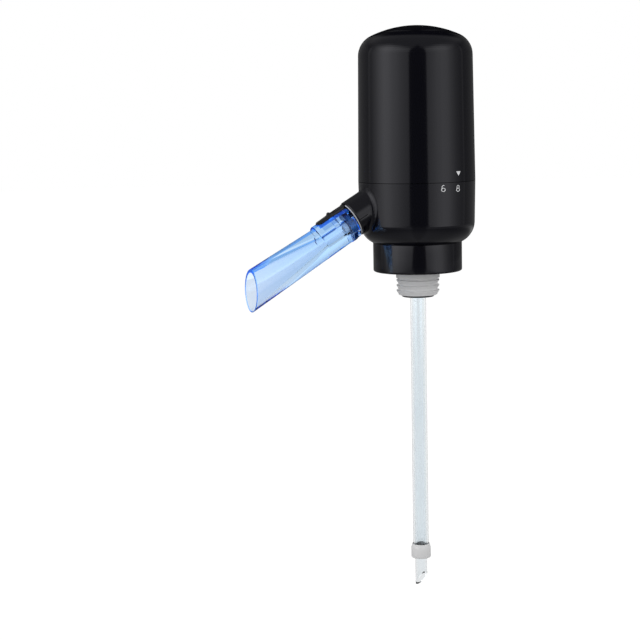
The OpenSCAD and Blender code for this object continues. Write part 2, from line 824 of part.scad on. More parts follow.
// Clear aerating spout: notched plug-in ring with tongue slot and two feet, throat with air inlet,
// flared tube with upright mouth
module spout() color(clear_blue, 0.6) {
    ring_round = 0.9;
    foot_angle = 56;
    difference() {
        along_spout()
            difference() {
                union() {
                    translate([0, ring_rise, 0])
                        revolve([[0, ring_start], [collar_ring_r - 0.2, ring_start], [collar_ring_r, ring_start + 0.2],
                            [collar_ring_r, ring_end - ring_round], [collar_ring_r - 0.3 * ring_round, ring_end - 0.3 * ring_round],
                            [collar_ring_r - ring_round, ring_end], [0, ring_end]]);
                    for (side = [0, 1])
                        mirror([side, 0, 0])
                            translate([0, ring_rise, 0])
                                ring_sector(collar_ring_r + foot_h, collar_ring_r - 1, foot_s, foot_s + foot_l, -52, foot_angle);
                    revolve([[0, ring_start + 1], [tube_root_r, ring_start + 1], [tube_end_r, lip_s], [0, lip_s]]);
                }
                translate([0, 0, ring_start - 1])
                    cylinder(r = spigot_r + run, h = spout_socket_end - ring_start + 1);
                translate([0, 0, ring_start])
                    cylinder(r = seal_r + 0.1, h = seal_pocket_end - ring_start);
                translate([0, 0, ring_start])
                    cylinder(r = throat_r, h = throat_end - ring_start + eps);
                revolve([[0, throat_end], [throat_r, throat_end], [bore_end_r, lip_s], [bore_end_r, lip_s + 1], [0, lip_s + 1]]);
                translate([-slot_w / 2, slot_floor, ring_start - 1])
                    cube([slot_w, through, slot_end - ring_start + 1]);
                translate([-inlet_w / 2, 0, inlet_s])
                    cube([inlet_w, slot_floor + 1, inlet_l]);
                for (side = [0, 1], notch = notches)
                    mirror([side, 0, 0])
                        ring_sector(collar_ring_r + 3, spigot_r - 1, ring_start - 1, ring_start + notch_l, notch[0], notch[1]);
            }
        translate([-through / 2, -mouth_y - through, -through])
            cube([through, through, 2 * through]);
    }
}

// Lower length of the telescopic tube, with a slanted tip
module inner_dip_tube() color("#dfe6ea") {
    tip_rise = 2 * inner_tube_r;
    difference() {
        tube(inner_tube_r, inner_tube_r - tube_wall, tip_z, inner_top);
        translate([-inner_tube_r - 1, -inner_tube_r, tip_z])
            rotate([atan(tip_rise / (2 * inner_tube_r)), 0, 0])
                translate([0, -through / 2, -through])
                    cube([2 * inner_tube_r + 2, through, through]);
    }
}

// Black bell of the upper half: guide for the button, screw bosses, charging slot and lamp hole
module upper_housing() color(black) {
    rib_t = 1.2;
    difference() {
        union() {
            difference() {
                revolve(upper_outline(0, upper_z));
                revolve(upper_outline(wall, upper_z - 1));
            }
            intersection() {
                revolve(upper_outline(wall / 2, upper_z));
                union() {
                    tube(button_r + button_gap + guide_t, button_r, guide_z, body_h);
                    around(housing_boss_angles, boss_ring_r) {
                        translate([0, 0, plate_top])
                            cylinder(r = housing_boss_r, h = housing_boss_h);
                        translate([0, -rib_t / 2, plate_top])
                            cube([through, rib_t, housing_boss_h]);
                    }
                }
            }
        }
        translate([0, 0, guide_z - 1])
            cylinder(r = button_r + button_gap, h = through);
        around(housing_boss_angles, boss_ring_r)
            translate([0, 0, plate_top - 1])
                cylinder(r = screw_r + screw_grip, h = housing_boss_h - 1);
        translate([0, through, usb_z])
            rotate([90, 0, 0])
                linear_extrude(through)
                    slot_outline(usb_w + 2 * clear, usb_h + 2 * clear);
        translate([light_x, 0, light_z])
            rotate([-90, 0, 0])
                cylinder(r = light_r + 0.1, h = through);
    }
}

// Chassis: plate, lock ring with lugs, air spigot and its way, pump cradle, cell clip and pillars
module inner_frame() color(charcoal) {
    way_z = plate_top + 0.2;
    sleeve_r = 2.4;
    difference() {
        union() {
            translate([0, 0, upper_z])
                cylinder(r = plate_r, h = plate_t);
            tube(ring_r, ring_r - ring_t, lug_z - 0.4, upper_z + eps);
            for (a = lock_angles)
                ring_sector(lug_r, ring_r - ring_t / 2, lug_z, lug_z + lug_t, a, lug_angle);
            translate([0, 0, spigot_tube_z])
                cylinder(r = spigot_tube_r, h = upper_z - spigot_tube_z + eps);
            translate([-duct_ridge_w / 2, pump_y - duct_ridge_w / 2, plate_top - eps])
                cube([duct_ridge_w, duct_ridge_w - pump_y, duct_ridge_h + eps]);
            translate([0, pump_y, plate_top - eps])
                difference() {
                    tube(pump_r + clear + cradle_t, pump_r + clear, 0, cradle_h);
                    translate([-pump_r * 0.7, 0, duct_ridge_h - 1])
                        cube([pump_r * 1.4, through, through]);
                }
            translate([0, cell_y, plate_top - eps])
                difference() {
                    tube(cell_r + clear + cradle_t, cell_r + clear, 0, cradle_h + 4);
                    translate([-cell_r * 0.5, 0, -1])
                        cube([cell_r, through, through]);
                }
            around(pillar_angles, pillar_ring_r) {
                translate([0, 0, plate_top - eps])
                    cylinder(r = pillar_r, h = board_z - plate_top + eps);
                translate([-pillar_r - 2.5, -0.6, plate_top - eps])
                    cube([pillar_r + 2.5, 1.2, cradle_h]);
            }
        }
        translate([0, pump_y, way_z - 1])
            cylinder(r = sleeve_r, h = through);
        translate([0, pump_y, way_z])
            rotate([-90, 0, 0])
                cylinder(r = 1, h = -pump_y);
        translate([0, 0, spigot_tube_z - 1])
            cylinder(r = spigot_bore_r, h = way_z - spigot_tube_z + 1);
        tube(spigot_tube_r + 1, spigot_tube_r - seal_cord_r - 0.1, seal_ring_z - seal_cord_r - 0.1, seal_ring_z + seal_cord_r + 0.1);
        around(housing_boss_angles, boss_ring_r)
            translate([0, 0, upper_z])
                mirror([0, 0, 1])
                    flush_hole(screw_r, plate_t + 1);
        around(pillar_angles, pillar_ring_r)
            translate([0, 0, board_z - screw_l - 1])
                cylinder(r = screw_r + screw_grip, h = screw_l + 2);
    }
}

// O-ring in the spigot's groove
module air_joint_seal() color("#3a3a3a") {
    translate([0, 0, seal_ring_z])
        rotate_extrude()
            translate([spigot_tube_r - 0.05, 0])
                circle(r = seal_cord_r);
}

// Four countersunk screws from the plate into the housing's bosses
module frame_screws() color(steel) {
    around(housing_boss_angles, boss_ring_r)
        translate([0, 0, upper_z])
            mirror([0, 0, 1])
                flush_screw(screw_r, screw_l + 2);
}

// Silicone sleeve between the pump's nozzle and the frame
module air_sleeve() color(silicone) {
    translate([0, pump_y, 0])
        tube(2.35, 1.65, plate_top + 1.4, duct_ridge_top);
}

// Pump head with outlet chamber and nozzle
module pump_cover() color("#d9d9d4") {
    chamber_r = pump_r - 3.4;
    chamber_h = 2;
    nozzle_r = 1.6;
    nozzle_l = duct_ridge_h - 1.4;
    translate([0, pump_y, duct_ridge_top])
        difference() {
            union() {
                cylinder(r = pump_r, h = cover_t);
                translate([0, 0, -nozzle_l])
                    cylinder(r = nozzle_r, h = nozzle_l + eps);
            }
            translate([0, 0, cover_t - chamber_h])
                cylinder(r = chamber_r, h = chamber_h + 1);
            translate([0, 0, -nozzle_l - 1])
                cylinder(r = 0.8, h = through);
            around(pump_screw_angles, pump_screw_ring) {
                translate([0, 0, -1])
                    cylinder(r = pump_screw_r + 0.1, h = cover_t + 2);
                translate([0, 0, -1])
                    cylinder(r = 2 * pump_screw_r, h = 2.2);
            }
        }
}

// Plate with the outlet port and three groups of inlet ports
module pump_valve_plate() color("#8e9aa3") {
    translate([0, pump_y, valve_plate_z])
        difference() {
            cylinder(r = pump_r, h = valve_plate_t);
            translate([0, 0, -1])
                cylinder(r = 1.2, h = valve_plate_t + 2);
            around(pump_angles, cup_ring_r)
                around([60, 180, 300], 1.3)
                    translate([0, 0, -1])
                        cylinder(r = 0.5, h = valve_plate_t + 2);
            around(pump_screw_angles, pump_screw_ring)
                translate([0, 0, -1])
                    cylinder(r = pump_screw_r + 0.1, h = valve_plate_t + 2);
        }
}

// Rubber diaphragm: a flange and three cups with stems
module pump_diaphragm() color("#2f2f2f") {
    translate([0, pump_y, diaphragm_z])
        difference() {
            union() {
                cylinder(r = pump_r, h = diaphragm_t);
                around(pump_angles, cup_ring_r) {
                    revolve([[0, 0], [cup_r, 0], [cup_r, diaphragm_t + cup_h - 1.2], [cup_r - 1.2, diaphragm_t + cup_h],
                        [0, diaphragm_t + cup_h]]);
                    translate([0, 0, diaphragm_t + cup_h - eps])
                        cylinder(r = cup_stem_r, h = cup_stem_h);
                }
            }
            around(pump_angles, cup_ring_r)
                revolve([[0, -1], [cup_r - cup_wall, -1], [cup_r - cup_wall, diaphragm_t + cup_h - 1.6],
                    [cup_r - 1.6, diaphragm_t + cup_h - cup_wall], [0, diaphragm_t + cup_h - cup_wall]]);
            around(pump_screw_angles, pump_screw_ring)
                translate([0, 0, -1])
                    cylinder(r = pump_screw_r + 0.1, h = diaphragm_t + 2);
        }
}

// Case round the pump's drive, with screw columns and a floor under the motor
module pump_housing() color("#d9d9d4") {
    case_wall = 1.2;
    floor_h = 1.4;
    bearing_hole_r = 3.2;
    translate([0, pump_y, drive_z])
        difference() {
            union() {
                difference() {
                    cylinder(r = pump_r, h = drive_h);
                    translate([0, 0, -1])
                        cylinder(r = pump_r - case_wall, h = drive_h - floor_h + 1);
                }
                intersection() {
                    cylinder(r = pump_r, h = drive_h);
                    around(pump_screw_angles, pump_screw_ring)
                        cylinder(r = 1.6, h = drive_h);
                }
            }
            translate([0, 0, -1])
                cylinder(r = bearing_hole_r, h = through);
            around(pump_screw_angles, pump_screw_ring)
                translate([0, 0, -1])
                    cylinder(r = pump_screw_r + 0.03, h = 8);
        }
}

// Three-armed plate that rocks the cups, with room for the slanted pin
module wobble_plate() color("#f0efe8") {
    arm_w = 2.4;
    translate([0, pump_y, wobble_z])
        difference() {
            union() {
                cylinder(r = 2.6, h = wobble_t);
                around(pump_angles, 0)
                    translate([0, -arm_w / 2, 0])
                        cube([cup_ring_r, arm_w, wobble_t]);
                around(pump_angles, cup_ring_r)
                    cylinder(r = 1.7, h = wobble_t);
            }
            translate([0, 0, -1])
                cylinder(r = crank_throw + crank_pin_r + 0.2, h = wobble_t + 2);
            around(pump_angles, cup_ring_r)
                translate([0, 0, -1])
                    cylinder(r = cup_stem_r + 0.05, h = wobble_t + 2);
        }
}

// Three screws that clamp the pump head together
module pump_screws() color(steel) {
    depth = 1.2;
    translate([0, pump_y, duct_ridge_top + depth])
        around(pump_screw_angles, pump_screw_ring)
            mirror([0, 0, 1])
                pan_screw(pump_screw_r, cover_t - depth + valve_plate_t + diaphragm_t + 6);
}

// Outline of the motor: a round can with two flats
module motor_outline(inset) {
    intersection() {
        circle(r = can_r - inset);
        square([2 * can_r, can_flat - 2 * inset], center = true);
    }
}

// Flat-sided motor can with its bearing boss
module motor_can() color(steel) {
    boss_h = 1.3;
    translate([0, pump_y, can_z])
        difference() {
            union() {
                linear_extrude(can_l)
                    motor_outline(0);
                translate([0, 0, -boss_h])
                    cylinder(r = 3.1, h = boss_h + eps);
            }
            translate([0, 0, -boss_h - 1])
                cylinder(r = shaft_r + run, h = can_l + boss_h + 2);
        }
}

// Plastic brush cover with two terminals
module motor_end_cap() color("#e4e0d4") {
    translate([0, pump_y, cap_z])
        difference() {
            union() {
                linear_extrude(cap_t)
                    motor_outline(0.5);
                for (x = [-1, 1])
                    translate([x * 5 - 1.1, -0.25, cap_t - eps])
                        cube([2.2, 0.5, terminal_h + eps]);
                translate([0, 0, cap_t - eps])
                    cylinder(r = 2.6, h = 0.8);
            }
            translate([0, 0, -1])
                cylinder(r = shaft_r + run, h = cap_t + 1);
        }
}

// Two leads from the terminals to the board
module motor_leads() color("#b02a2a") {
    for (x = [-1, 1])
        translate([x * 5, pump_y, cap_top + terminal_h])
            cylinder(r = 0.5, h = board_z - cap_top - terminal_h);
}

// Rechargeable cell with its raised pole
module battery_cell() color("#3f7f5a") {
    pole_h = 0.8;
    edge = 0.5;
    translate([0, cell_y, cell_z])
        revolve([[0, 0], [cell_r - edge, 0], [cell_r, edge], [cell_r, cell_l - pole_h - edge],
            [cell_r - edge, cell_l - pole_h], [3, cell_l - pole_h], [3, cell_l], [0, cell_l]]);
}

// Two nickel strips from the cell's ends up to the board
module battery_tabs() color(steel) {
    strip_w = 5;
    back_y = cell_y + cell_r + 2 * tab_t;
    translate([-strip_w / 2, cell_y - 3, plate_top])
        cube([strip_w, back_y - cell_y + 3, tab_t]);
    translate([-strip_w / 2, back_y - eps, plate_top])
        cube([strip_w, tab_t, board_z - plate_top]);
    translate([-strip_w / 2, cell_y - 6, cell_z + cell_l])
        cube([strip_w, 7, tab_t]);
    translate([-strip_w / 2, cell_y - 6, cell_z + cell_l])
        cube([strip_w, tab_t, board_z - cell_z - cell_l]);
}

// Round board with lead holes and a flat edge at the socket
module control_board() color("#1f6b3a") {
    difference() {
        translate([0, 0, board_z])
            cylinder(r = board_r, h = board_t);
        around(pillar_angles, pillar_ring_r)
            translate([0, 0, board_z - 1])
                cylinder(r = screw_r + clear / 3, h = board_t + 2);
        around([250, 290], board_r)
            translate([0, 0, board_z - 1])
                cylinder(r = 2, h = board_t + 2);
        translate([-usb_w / 2, usb_mouth - 2, board_z - 1])
            cube([usb_w, through, board_t + 2]);
    }
}

// Two screws that hold the board on the pillars
module board_screws() color(steel) {
    around(pillar_angles, pillar_ring_r)
        translate([0, 0, board_top])
            pan_screw(screw_r, screw_l);
}

// Square switch with a well for its plunger
module tact_switch() color("#2a2a2c") {
    difference() {
        translate([-switch_w / 2, -switch_w / 2, board_top])
            cube([switch_w, switch_w, switch_h]);
        translate([0, 0, plunger_seat])
            cylinder(r = plunger_r + run, h = through);
        for (x = [-1, 1], y = [-1, 1])
            translate([x * switch_w / 2, y * switch_w / 2, board_top])
                rotate([0, 0, 45])
                    translate([-0.6, -0.6, -1])
                        cube([1.2, 1.2, through]);
    }
}

// Charging socket: a flat shell with a contact tongue
module usb_socket() color(steel) {
    contact_t = 0.7;
    contact_w = 6.7;
    translate([0, usb_mouth, usb_z])
        rotate([90, 0, 0]) {
            difference() {
                linear_extrude(usb_l)
                    slot_outline(usb_w, usb_h);
                translate([0, 0, -1])
                    linear_extrude(usb_l)
                        slot_outline(usb_w - 2 * usb_wall, usb_h - 2 * usb_wall);
            }
            translate([-contact_w / 2, -contact_t / 2, 0.8])
                cube([contact_w, contact_t, usb_l - 1.2]);
        }
}

// Light pipe from the board to the housing's outside
module charge_light() color("#f2f6f8") {
    skin_y = sqrt(pow(shoulder_top_r, 2) - pow(light_x + light_r, 2));
    foot_y = sqrt(pow(board_r, 2) - pow(light_x + light_r, 2)) - 2.4;
    translate([light_x, foot_y, light_z])
        rotate([-90, 0, 0])
            cylinder(r = light_r, h = skin_y - foot_y);
    translate([light_x - light_r, foot_y, board_top])
        cube([2 * light_r, 2, light_z - board_top]);
}

// Domed press button: skirt in the guide, three hooks under it and a stem over the switch
module top_button() color("#151517") {
    stem_r = 2.4;
    hook_span = 22;
    leg_in = button_r - skirt_t;
    difference() {
        intersection() {
            revolve(upper_outline(0, upper_z));
            translate([0, 0, skirt_z])
                cylinder(r = button_r, h = through);
        }
        intersection() {
            revolve(upper_outline(button_t, upper_z));
            translate([0, 0, skirt_z - 1])
                cylinder(r = leg_in, h = through);
        }
    }
    translate([0, 0, plunger_top + 0.02])
        cylinder(r = stem_r, h = body_h - button_t / 2 - plunger_top);
    for (a = [30, 150, 270]) {
        ring_sector(button_r - 0.1, leg_in + 0.1, hook_z, skirt_z + 0.5, a, hook_span);
        ring_sector(button_r + hook_depth, leg_in + skirt_t / 2, hook_z, hook_z + hook_t, a, hook_span - 1);
    }
}

// Plunger of the switch, under the button's stem
module switch_plunger() color("#8a1f1f") {
    translate([0, 0, plunger_z])
        cylinder(r = plunger_r, h = plunger_top - plunger_z);
}

// Motor shaft from the crank hub to the end cap
module motor_shaft() color(steel) {
    translate([0, pump_y, hub_z + 0.4])
        cylinder(r = shaft_r, h = cap_top - 0.4 - hub_z);
}

// Crank hub pressed on the shaft, with the slanted pin
module pump_eccentric() color("#f0efe8") {
    pin_tilt = 8;
    pin_foot = wobble_z - 0.4;
    translate([0, pump_y, 0])
        difference() {
            union() {
                translate([0, 0, hub_z])
                    cylinder(r = hub_r, h = hub_top - hub_z);
                translate([0, 0, pin_foot])
                    rotate([pin_tilt, 0, 0])
                        cylinder(r = crank_pin_r, h = hub_z - pin_foot + 0.3);
            }
            translate([0, 0, hub_z + 0.4])
                cylinder(r = shaft_r + 0.02, h = through);
        }
}

lower_housing();
bottle_collar();
base_disc();
neck_stem();
bottle_stopper();
lip_gasket();
base_screws();
air_check_valve();
wine_hose();
spout_spigot();
nozzle_seal();
stub_gasket();
lower_deck();
deck_screws();
outer_dip_tube();
tube_gland();
release_tongue();
spout();
inner_dip_tube();
upper_housing();
inner_frame();
air_joint_seal();
frame_screws();
air_sleeve();
pump_cover();
pump_valve_plate();
pump_diaphragm();
pump_housing();
wobble_plate();
pump_screws();
motor_can();
motor_end_cap();
motor_leads();
battery_cell();
battery_tabs();
control_board();
board_screws();
tact_switch();
usb_socket();
charge_light();
top_button();
switch_plunger();
motor_shaft();
pump_eccentric();
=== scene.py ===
import math

import bpy
from mathutils import Matrix, Vector


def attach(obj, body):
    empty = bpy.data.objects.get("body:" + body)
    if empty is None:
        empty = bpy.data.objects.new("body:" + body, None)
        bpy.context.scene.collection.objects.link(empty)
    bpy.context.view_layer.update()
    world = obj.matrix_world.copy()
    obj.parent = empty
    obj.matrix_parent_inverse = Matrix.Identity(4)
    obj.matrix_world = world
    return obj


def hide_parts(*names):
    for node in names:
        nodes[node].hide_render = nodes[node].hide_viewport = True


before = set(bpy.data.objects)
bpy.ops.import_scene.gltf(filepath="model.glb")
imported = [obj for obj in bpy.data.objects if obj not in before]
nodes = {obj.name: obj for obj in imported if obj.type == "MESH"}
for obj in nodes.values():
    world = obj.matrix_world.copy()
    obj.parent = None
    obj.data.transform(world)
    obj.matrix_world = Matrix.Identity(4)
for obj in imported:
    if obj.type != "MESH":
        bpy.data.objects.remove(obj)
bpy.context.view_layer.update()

MM = 0.001
bpy.ops.object.select_all(action="DESELECT")


# Collar: the black ring at the foot of the lower half, which goes round a neck.
# Injection-moulded in glossy ABS, with a small radius on its lower edge,
# and held to the housing above it by three screws from inside.
class Wire:
    """An output of a shader tree that takes part in Python sums."""

    def __init__(self, tree, socket):
        self.tree = tree
        self.socket = socket

    def node(self, kind, settings=None, sockets=None, out=0):
        """Adds any node: its settings first, then the values or links of its sockets."""
        made = self.tree.nodes.new(kind)
        for key, value in (settings or {}).items():
            if key == "stops":
                while len(made.color_ramp.elements) < len(value):
                    made.color_ramp.elements.new(0.5)
                for stop, (place, colour) in zip(made.color_ramp.elements, value):
                    stop.position = place
                    stop.color = (*colour, 1.0)
            else:
                setattr(made, key, value)
        for key, value in (sockets or {}).items():
            if isinstance(value, Wire):
                self.tree.links.new(value.socket, made.inputs[key])
            else:
                made.inputs[key].default_value = value
        return Wire(self.tree, made.outputs[out])

    def sum(self, operation, first, second=0.0):
        """Adds a Math node with one or two operands."""
        return self.node("ShaderNodeMath", {"operation": operation}, {0: first, 1: second})

    def __add__(self, other):
        return self.sum("ADD", self, other)

    def __radd__(self, other):
        return self.sum("ADD", other, self)

    def __sub__(self, other):
        return self.sum("SUBTRACT", self, other)

    def __rsub__(self, other):
        return self.sum("SUBTRACT", other, self)

    def __mul__(self, other):
        return self.sum("MULTIPLY", self, other)

    def __rmul__(self, other):
        return self.sum("MULTIPLY", other, self)

    def __abs__(self):
        return self.sum("ABSOLUTE", self)

    def over(self, limit):
        """1 where the value is over a limit, and 0 elsewhere."""
        return self.sum("GREATER_THAN", self, limit)

    def under(self, limit):
        """1 where the value is under a limit, and 0 elsewhere."""
        return self.sum("LESS_THAN", self, limit)

    def part(self, axis):
        """One coordinate of a vector."""
        return self.node("ShaderNodeSeparateXYZ", {}, {0: self}, out=axis)


def new_material(name):
    """An empty material with its object coordinates and its principled shader."""
    material = bpy.data.materials.new(name)
    material.use_nodes = True
    tree = material.node_tree
    tree.nodes.clear()
    place = Wire(tree, tree.nodes.new("ShaderNodeTexCoord").outputs["Object"])
    shader = tree.nodes.new("ShaderNodeBsdfPrincipled")
    output = tree.nodes.new("ShaderNodeOutputMaterial")
    tree.links.new(shader.outputs[0], output.inputs["Surface"])
    return material, place, shader


def feed(shader, **sockets):
    """Sets or links sockets of a principled shader, with _ for the spaces in their names."""
    for key, value in sockets.items():
        socket = shader.inputs[key.replace("_", " ")]
        if isinstance(value, Wire):
            shader.id_data.links.new(value.socket, socket)
        else:
            socket.default_value = value


def noise(place, scale, detail=2.0):
    """Cloudy noise from 0 to 1, with its scale per metre."""
    return place.node("ShaderNodeTexNoise", {}, {"Vector": place, "Scale": scale, "Detail": detail})


def mix_colour(mask, low, high):
    """A mix of two colours, each a tuple or an output of the tree."""
    low, high = [colour if isinstance(colour, Wire) else (*colour, 1) for colour in (low, high)]
    return mask.node("ShaderNodeMix", {"data_type": "RGBA"}, {0: mask, 6: low, 7: high}, out=2)


def bump(place, height, strength, depth=0.02 * MM):
    """A normal that is tilted by a height from 0 to 1 over a depth."""
    sockets = {"Height": height, "Strength": strength, "Distance": depth}
    return place.node("ShaderNodeBump", {}, sockets)


def moulded(name, colour, lighter, roughness, spread=0.05, grain=0.02, grain_scale=2600.0,
            gloss=(1, 1, 1), dull=None):
    """Moulded plastic: slow colour and gloss changes, its tool's fine grain, and any dull lines."""
    flow_scale, line_dullness = 60.0, 0.7
    material, place, shader = new_material(name)
    flow = noise(place, flow_scale)
    fine = noise(place, grain_scale, 1.0)
    matt = flow * spread + (roughness - spread / 2)
    feed(
        shader,
        Base_Color=mix_colour(flow, colour, lighter),
        Roughness=matt + dull(place) * line_dullness if dull else matt,
        Normal=bump(place, fine, grain),
        IOR=1.5,
        Specular_Tint=(*gloss, 1),
    )
    return material


def dress(piece, material):
    """Gives a piece one material all over."""
    piece.data.materials.clear()
    piece.data.materials.append(material)


def seat(piece, body, slot, *replaced):
    """Fixes a new piece to its body, in place of the solids that it stands for."""
    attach(piece, body)
    if replaced:
        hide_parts(*replaced)


same_point = 1e-7


def trace(points):
    """Starts a mesh with a chain of edges through points in metres, and stays in edit mode."""
    bpy.ops.object.select_all(action="DESELECT")
    bpy.ops.mesh.primitive_plane_add(size=MM, enter_editmode=True)
    bpy.ops.mesh.select_mode(type="VERT")
    bpy.ops.mesh.merge(type="CENTER")
    bpy.ops.transform.translate(value=points[0])
    for before, after in zip(points, points[1:]):
        step = [b - a for a, b in zip(before, after)]
        bpy.ops.mesh.extrude_region_move(TRANSFORM_OT_translate={"value": step})
    bpy.ops.mesh.select_all(action="SELECT")
    bpy.ops.mesh.remove_doubles(threshold=same_point)
    bpy.ops.mesh.select_all(action="SELECT")


def finished(name, angle=32, unit=MM):
    """Closes a mesh that is in edit mode and smooths it up to an angle."""
    weld = 0.001
    bpy.ops.mesh.select_all(action="SELECT")
    bpy.ops.mesh.remove_doubles(threshold=weld * unit)
    bpy.ops.mesh.normals_make_consistent(inside=False)
    bpy.ops.object.mode_set(mode="OBJECT")
    piece = bpy.context.object
    piece.name = name
    bpy.ops.object.shade_smooth_by_angle(angle=math.radians(angle))
    return piece


def turned(name, profile, turns=160, unit=MM):
    """Turns a profile of radius and height in mm round the vertical axis."""
    trace([(r * unit, 0, z * unit) for r, z in profile])
    bpy.ops.mesh.spin(steps=turns, angle=2 * math.pi, center=(0, 0, 0), axis=(0, 0, 1))
    return finished(name, unit=unit)


def arc(r, z, radius, start, end, steps):
    """Points of an arc in the plane of a profile, angles in degrees from the outward radius."""
    angles = [math.radians(start + (end - start) * i / steps) for i in range(steps + 1)]
    return [(r + radius * math.cos(a), z + radius * math.sin(a)) for a in angles]


collar_r = 18.7
collar_bore = 14.95
collar_top = 12.18
collar_edge = 0.7
stem_gap = 7.7
ceiling_z = 10.4
ceiling_edge = 0.4
bore_lead = [(0, 1.0), (0.15, 0.55), (0.5, 0.18), (1.0, 0.0)]
top_lead = [(0, -0.33), (-0.12, -0.08), (-0.35, 0)]
collar_profile = (
    [(stem_gap, collar_top), (stem_gap, ceiling_z)]
    + [(collar_bore - ceiling_edge, ceiling_z), (collar_bore, ceiling_z - ceiling_edge)]
    + [(collar_bore + out, z) for out, z in bore_lead]
    + arc(collar_r - collar_edge, collar_edge, collar_edge, -90, 0, 8)
    + [(collar_r + out, collar_top + up) for out, up in top_lead]
    + [(stem_gap, collar_top)]
)
black = (0.0016, 0.0016, 0.0036)
faded_black = (0.0024, 0.0024, 0.0046)
cool_gloss = (0.94, 0.94, 1.0)
black_plastic = moulded(
    "black_plastic", black, faded_black, roughness=0.12, spread=0.04, grain=0.03, gloss=cool_gloss
)
bottle_collar = turned("bottle_collar_ring", collar_profile)
dress(bottle_collar, black_plastic)
seat(bottle_collar, "lower_head", "black_gloss", "bottle_collar")

# Floor plate and hollow stem inside the lower half: charcoal fibre-filled nylon
# with an eroded tool finish, clamped to the collar by three pan-head screws.
# All the screws of the part are steel with a bright zinc plating.
charcoal = (0.02, 0.02, 0.022)
light_charcoal = (0.032, 0.032, 0.034)
dark_grey = moulded(
    "dark_grey_nylon", charcoal, light_charcoal,
    roughness=0.5, spread=0.12, grain=0.25, grain_scale=1500.0,
)
for name in ("base_disc", "neck_stem"):
    dress(nodes[name], dark_grey)


def stretched(place, x, y, z):
    """The same coordinates, scaled along each axis, for grain that runs one way."""
    return place.node("ShaderNodeMapping", {}, {"Vector": place, "Scale": (x, y, z)})


def metal(name, colour, worn, roughness, along=(1, 1, 1), scale=900.0):
    """Bare metal with fine marks that run along one way, and a few duller patches."""
    patch_scale, mark_spread, patch_spread, relief = 160.0, 0.14, 0.08, 0.08
    material, place, shader = new_material(name)
    marks = noise(stretched(place, *along), scale, 3.0)
    patches = noise(place, patch_scale)
    smoothest = roughness - (mark_spread + patch_spread) / 2
    feed(
        shader,
        Base_Color=mix_colour(patches, colour, worn),
        Metallic=1.0,
        Roughness=marks * mark_spread + patches * patch_spread + smoothest,
        Normal=bump(place, marks, relief),
    )
    return material


screw_zinc = metal("screw_zinc", (0.62, 0.63, 0.65), (0.48, 0.49, 0.51), roughness=0.3)
for name in ("base_screws", "deck_screws", "frame_screws", "pump_screws", "board_screws"):
    dress(nodes[name], screw_zinc)

# Stopper: a pale silicone plug with three soft ribs on its nose and a plain land above,
# compression-moulded and pushed over the stem.
silicone = moulded(
    "pale_silicone", (0.66, 0.66, 0.66), (0.74, 0.74, 0.75),
    roughness=0.5, spread=0.12, grain=0.12, grain_scale=700.0,
)
stopper_r = 9.2
stopper_root = 8.3
stopper_bore = 7.45
stopper_top = 8.3
stopper_foot = -10.2
nose_edge = 0.2
land_foot = -3.0
land_edge = 0.15
rib_count = 3
rib_pitch = 2.2
first_rib = -9.6
rib_rise = [(0, 0), (0.42, 0.6), (0.7, 1.05), (0.78, 1.22)]
rib_fall = [(0.73, 1.38), (0.5, 1.5), (0.15, 1.6), (0, 1.75)]
land_lead = [(0.02, -0.25), (0.2, -0.05)]
top_edge = [(0, -0.2), (-0.15, -0.05), (-0.2, 0)]
stopper_profile = [
    (stopper_bore, stopper_top),
    (stopper_bore, stopper_foot + nose_edge),
    (stopper_bore + 0.15, stopper_foot),
    (stopper_root - 0.4, stopper_foot),
    (stopper_root - 0.1, stopper_foot + nose_edge),
]
for rib in range(rib_count):
    rib_z = first_rib + rib * rib_pitch
    stopper_profile += [(stopper_root + out, rib_z + up) for out, up in rib_rise + rib_fall]
stopper_profile += [(stopper_root + out, land_foot + up) for out, up in land_lead]
stopper_profile += [(stopper_r - land_edge, land_foot), (stopper_r, land_foot + land_edge)]
stopper_profile += [(stopper_r + out, stopper_top + up) for out, up in top_edge]
stopper_profile += [(stopper_bore, stopper_top)]
stopper = turned("stopper_plug", stopper_profile)
dress(stopper, silicone)
seat(stopper, "lower_head", "silicone", "bottle_stopper")

# Gasket: a flat silicone washer under the collar's ceiling,
# moulded with a rounded bead that seals on the neck's rim, and trapped above the stopper.
gasket_r = 14.65
gasket_top = 10.38
gasket_foot = 8.4
gasket_edge = 0.2
bead_place = 11.2
bead_r = 0.55
bead_root = (10.5, 12.0)
gasket_profile = (
    [(stem_gap, gasket_top), (stem_gap, gasket_foot), (bead_root[0], gasket_foot)]
    + arc(bead_place, gasket_foot, bead_r, 180, 360, 8)
    + [(bead_root[1], gasket_foot), (gasket_r - gasket_edge, gasket_foot)]
    + [(gasket_r, gasket_foot + gasket_edge), (gasket_r, gasket_top), (stem_gap, gasket_top)]
)
gasket = turned("gasket_washer", gasket_profile)
dress(gasket, silicone)
seat(gasket, "lower_head", "silicone", "lip_gasket")

# Air valve and hose: a silicone duckbill in the stem's air hole,
# and a bent translucent hose pushed over the stem's barb.
dress(nodes["air_check_valve"], silicone)
hose_silicone, place, shader = new_material("hose_silicone")
cloud = noise(place, 220.0)
feed(
    shader,
    Base_Color=mix_colour(cloud, (0.74, 0.79, 0.82), (0.84, 0.88, 0.9)),
    Roughness=cloud * 0.15 + 0.25,
    Normal=bump(place, noise(place, 900.0), 0.05, 0.03 * MM),
    IOR=1.41,
    Transmission_Weight=0.55,
)
dress(nodes["wine_hose"], hose_silicone)

